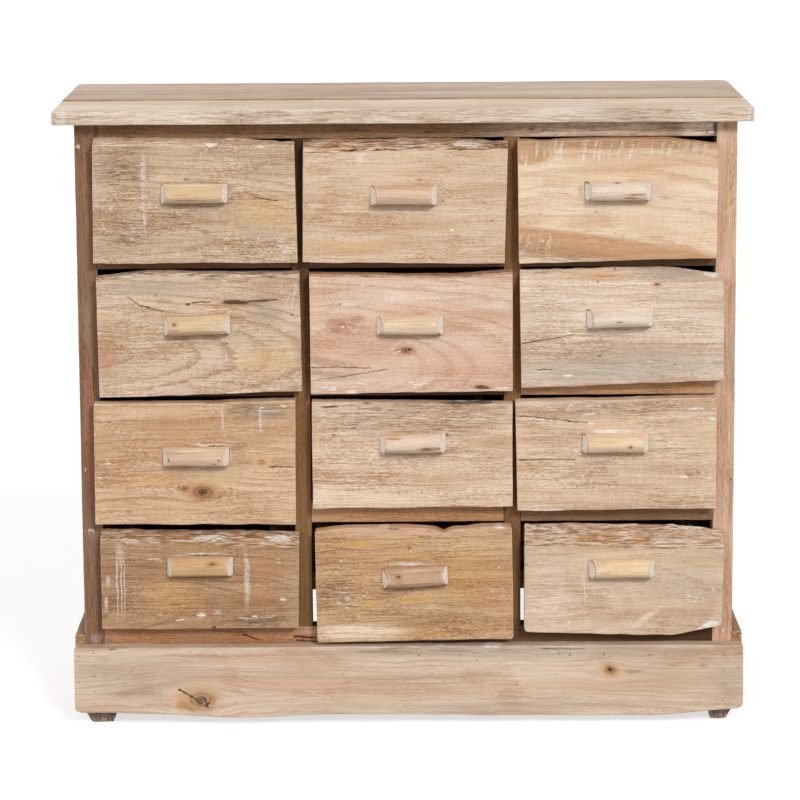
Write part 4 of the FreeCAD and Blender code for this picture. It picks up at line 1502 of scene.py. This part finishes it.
def make_floor():
    """Pale floor that looks white to the camera and still keeps the shadow."""
    mesh = bpy.data.meshes.new("floor")
    signs = ((-1, -1), (1, -1), (1, 1), (-1, 1))
    mesh.from_pydata([(x * FLOOR_HALF, y * FLOOR_HALF, 0) for x, y in signs], [], [(0, 1, 2, 3)])
    floor = bpy.data.objects.new("floor", mesh)
    bpy.context.scene.collection.objects.link(floor)
    graph = Graph(bpy.data.materials.new("floor"))
    diffuse = graph.add("BsdfDiffuse", {"Color": FLOOR_GREY})
    glow = graph.add("Emission", {"Color": (1, 1, 1, 1), "Strength": seen_itself(graph) * FLOOR_GLOW})
    graph.add("OutputMaterial", {"Surface": graph.add("AddShader", {0: diffuse, 1: glow})})
    mesh.materials.append(graph.owner)


def make_world():
    """White where the camera or a reflection sees it, a plain level where it lights the wood."""
    world = bpy.data.worlds.new("studio")
    bpy.context.scene.world = world
    graph = Graph(world)
    strength = graph.add("MapRange", {0: seen_itself(graph), 3: WORLD_LEVEL, 4: 1.0})
    background = graph.add("Background", {"Color": (1, 1, 1, 1), "Strength": strength})
    graph.add("OutputWorld", {"Surface": background})


def make_sun(name, azimuth, elevation, strength, angle):
    """A wide soft lamp."""
    lamp = bpy.data.lights.new(name, "SUN")
    lamp.energy = strength
    lamp.angle = math.radians(angle)
    made = bpy.data.objects.new(name, lamp)
    bpy.context.scene.collection.objects.link(made)
    turn, lift = math.radians(azimuth), math.radians(elevation)
    towards = Vector((math.sin(turn) * math.cos(lift), -math.cos(turn) * math.cos(lift), math.sin(lift)))
    made.rotation_euler = towards.to_track_quat("Z", "Y").to_euler()


def make_camera():
    camera = bpy.data.cameras.new("camera")
    camera.sensor_width = 36.0
    camera.lens = 148.5
    camera.shift_x = 0.0023
    camera.shift_y = -0.08
    camera.clip_end = 200
    seat = bpy.data.objects.new("camera", camera)
    bpy.context.scene.collection.objects.link(seat)
    seat.location = CAMERA_PLACE
    seat.rotation_euler = Euler((math.radians(90 - CAMERA_DOWN), math.radians(CAMERA_ROLL), 0), "XYZ")
    bpy.context.scene.camera = seat


make_floor()
make_world()
for name, sun in SUNS.items():
    make_sun(name, *sun)
make_camera()
bpy.context.scene.view_settings.view_transform = "Standard"
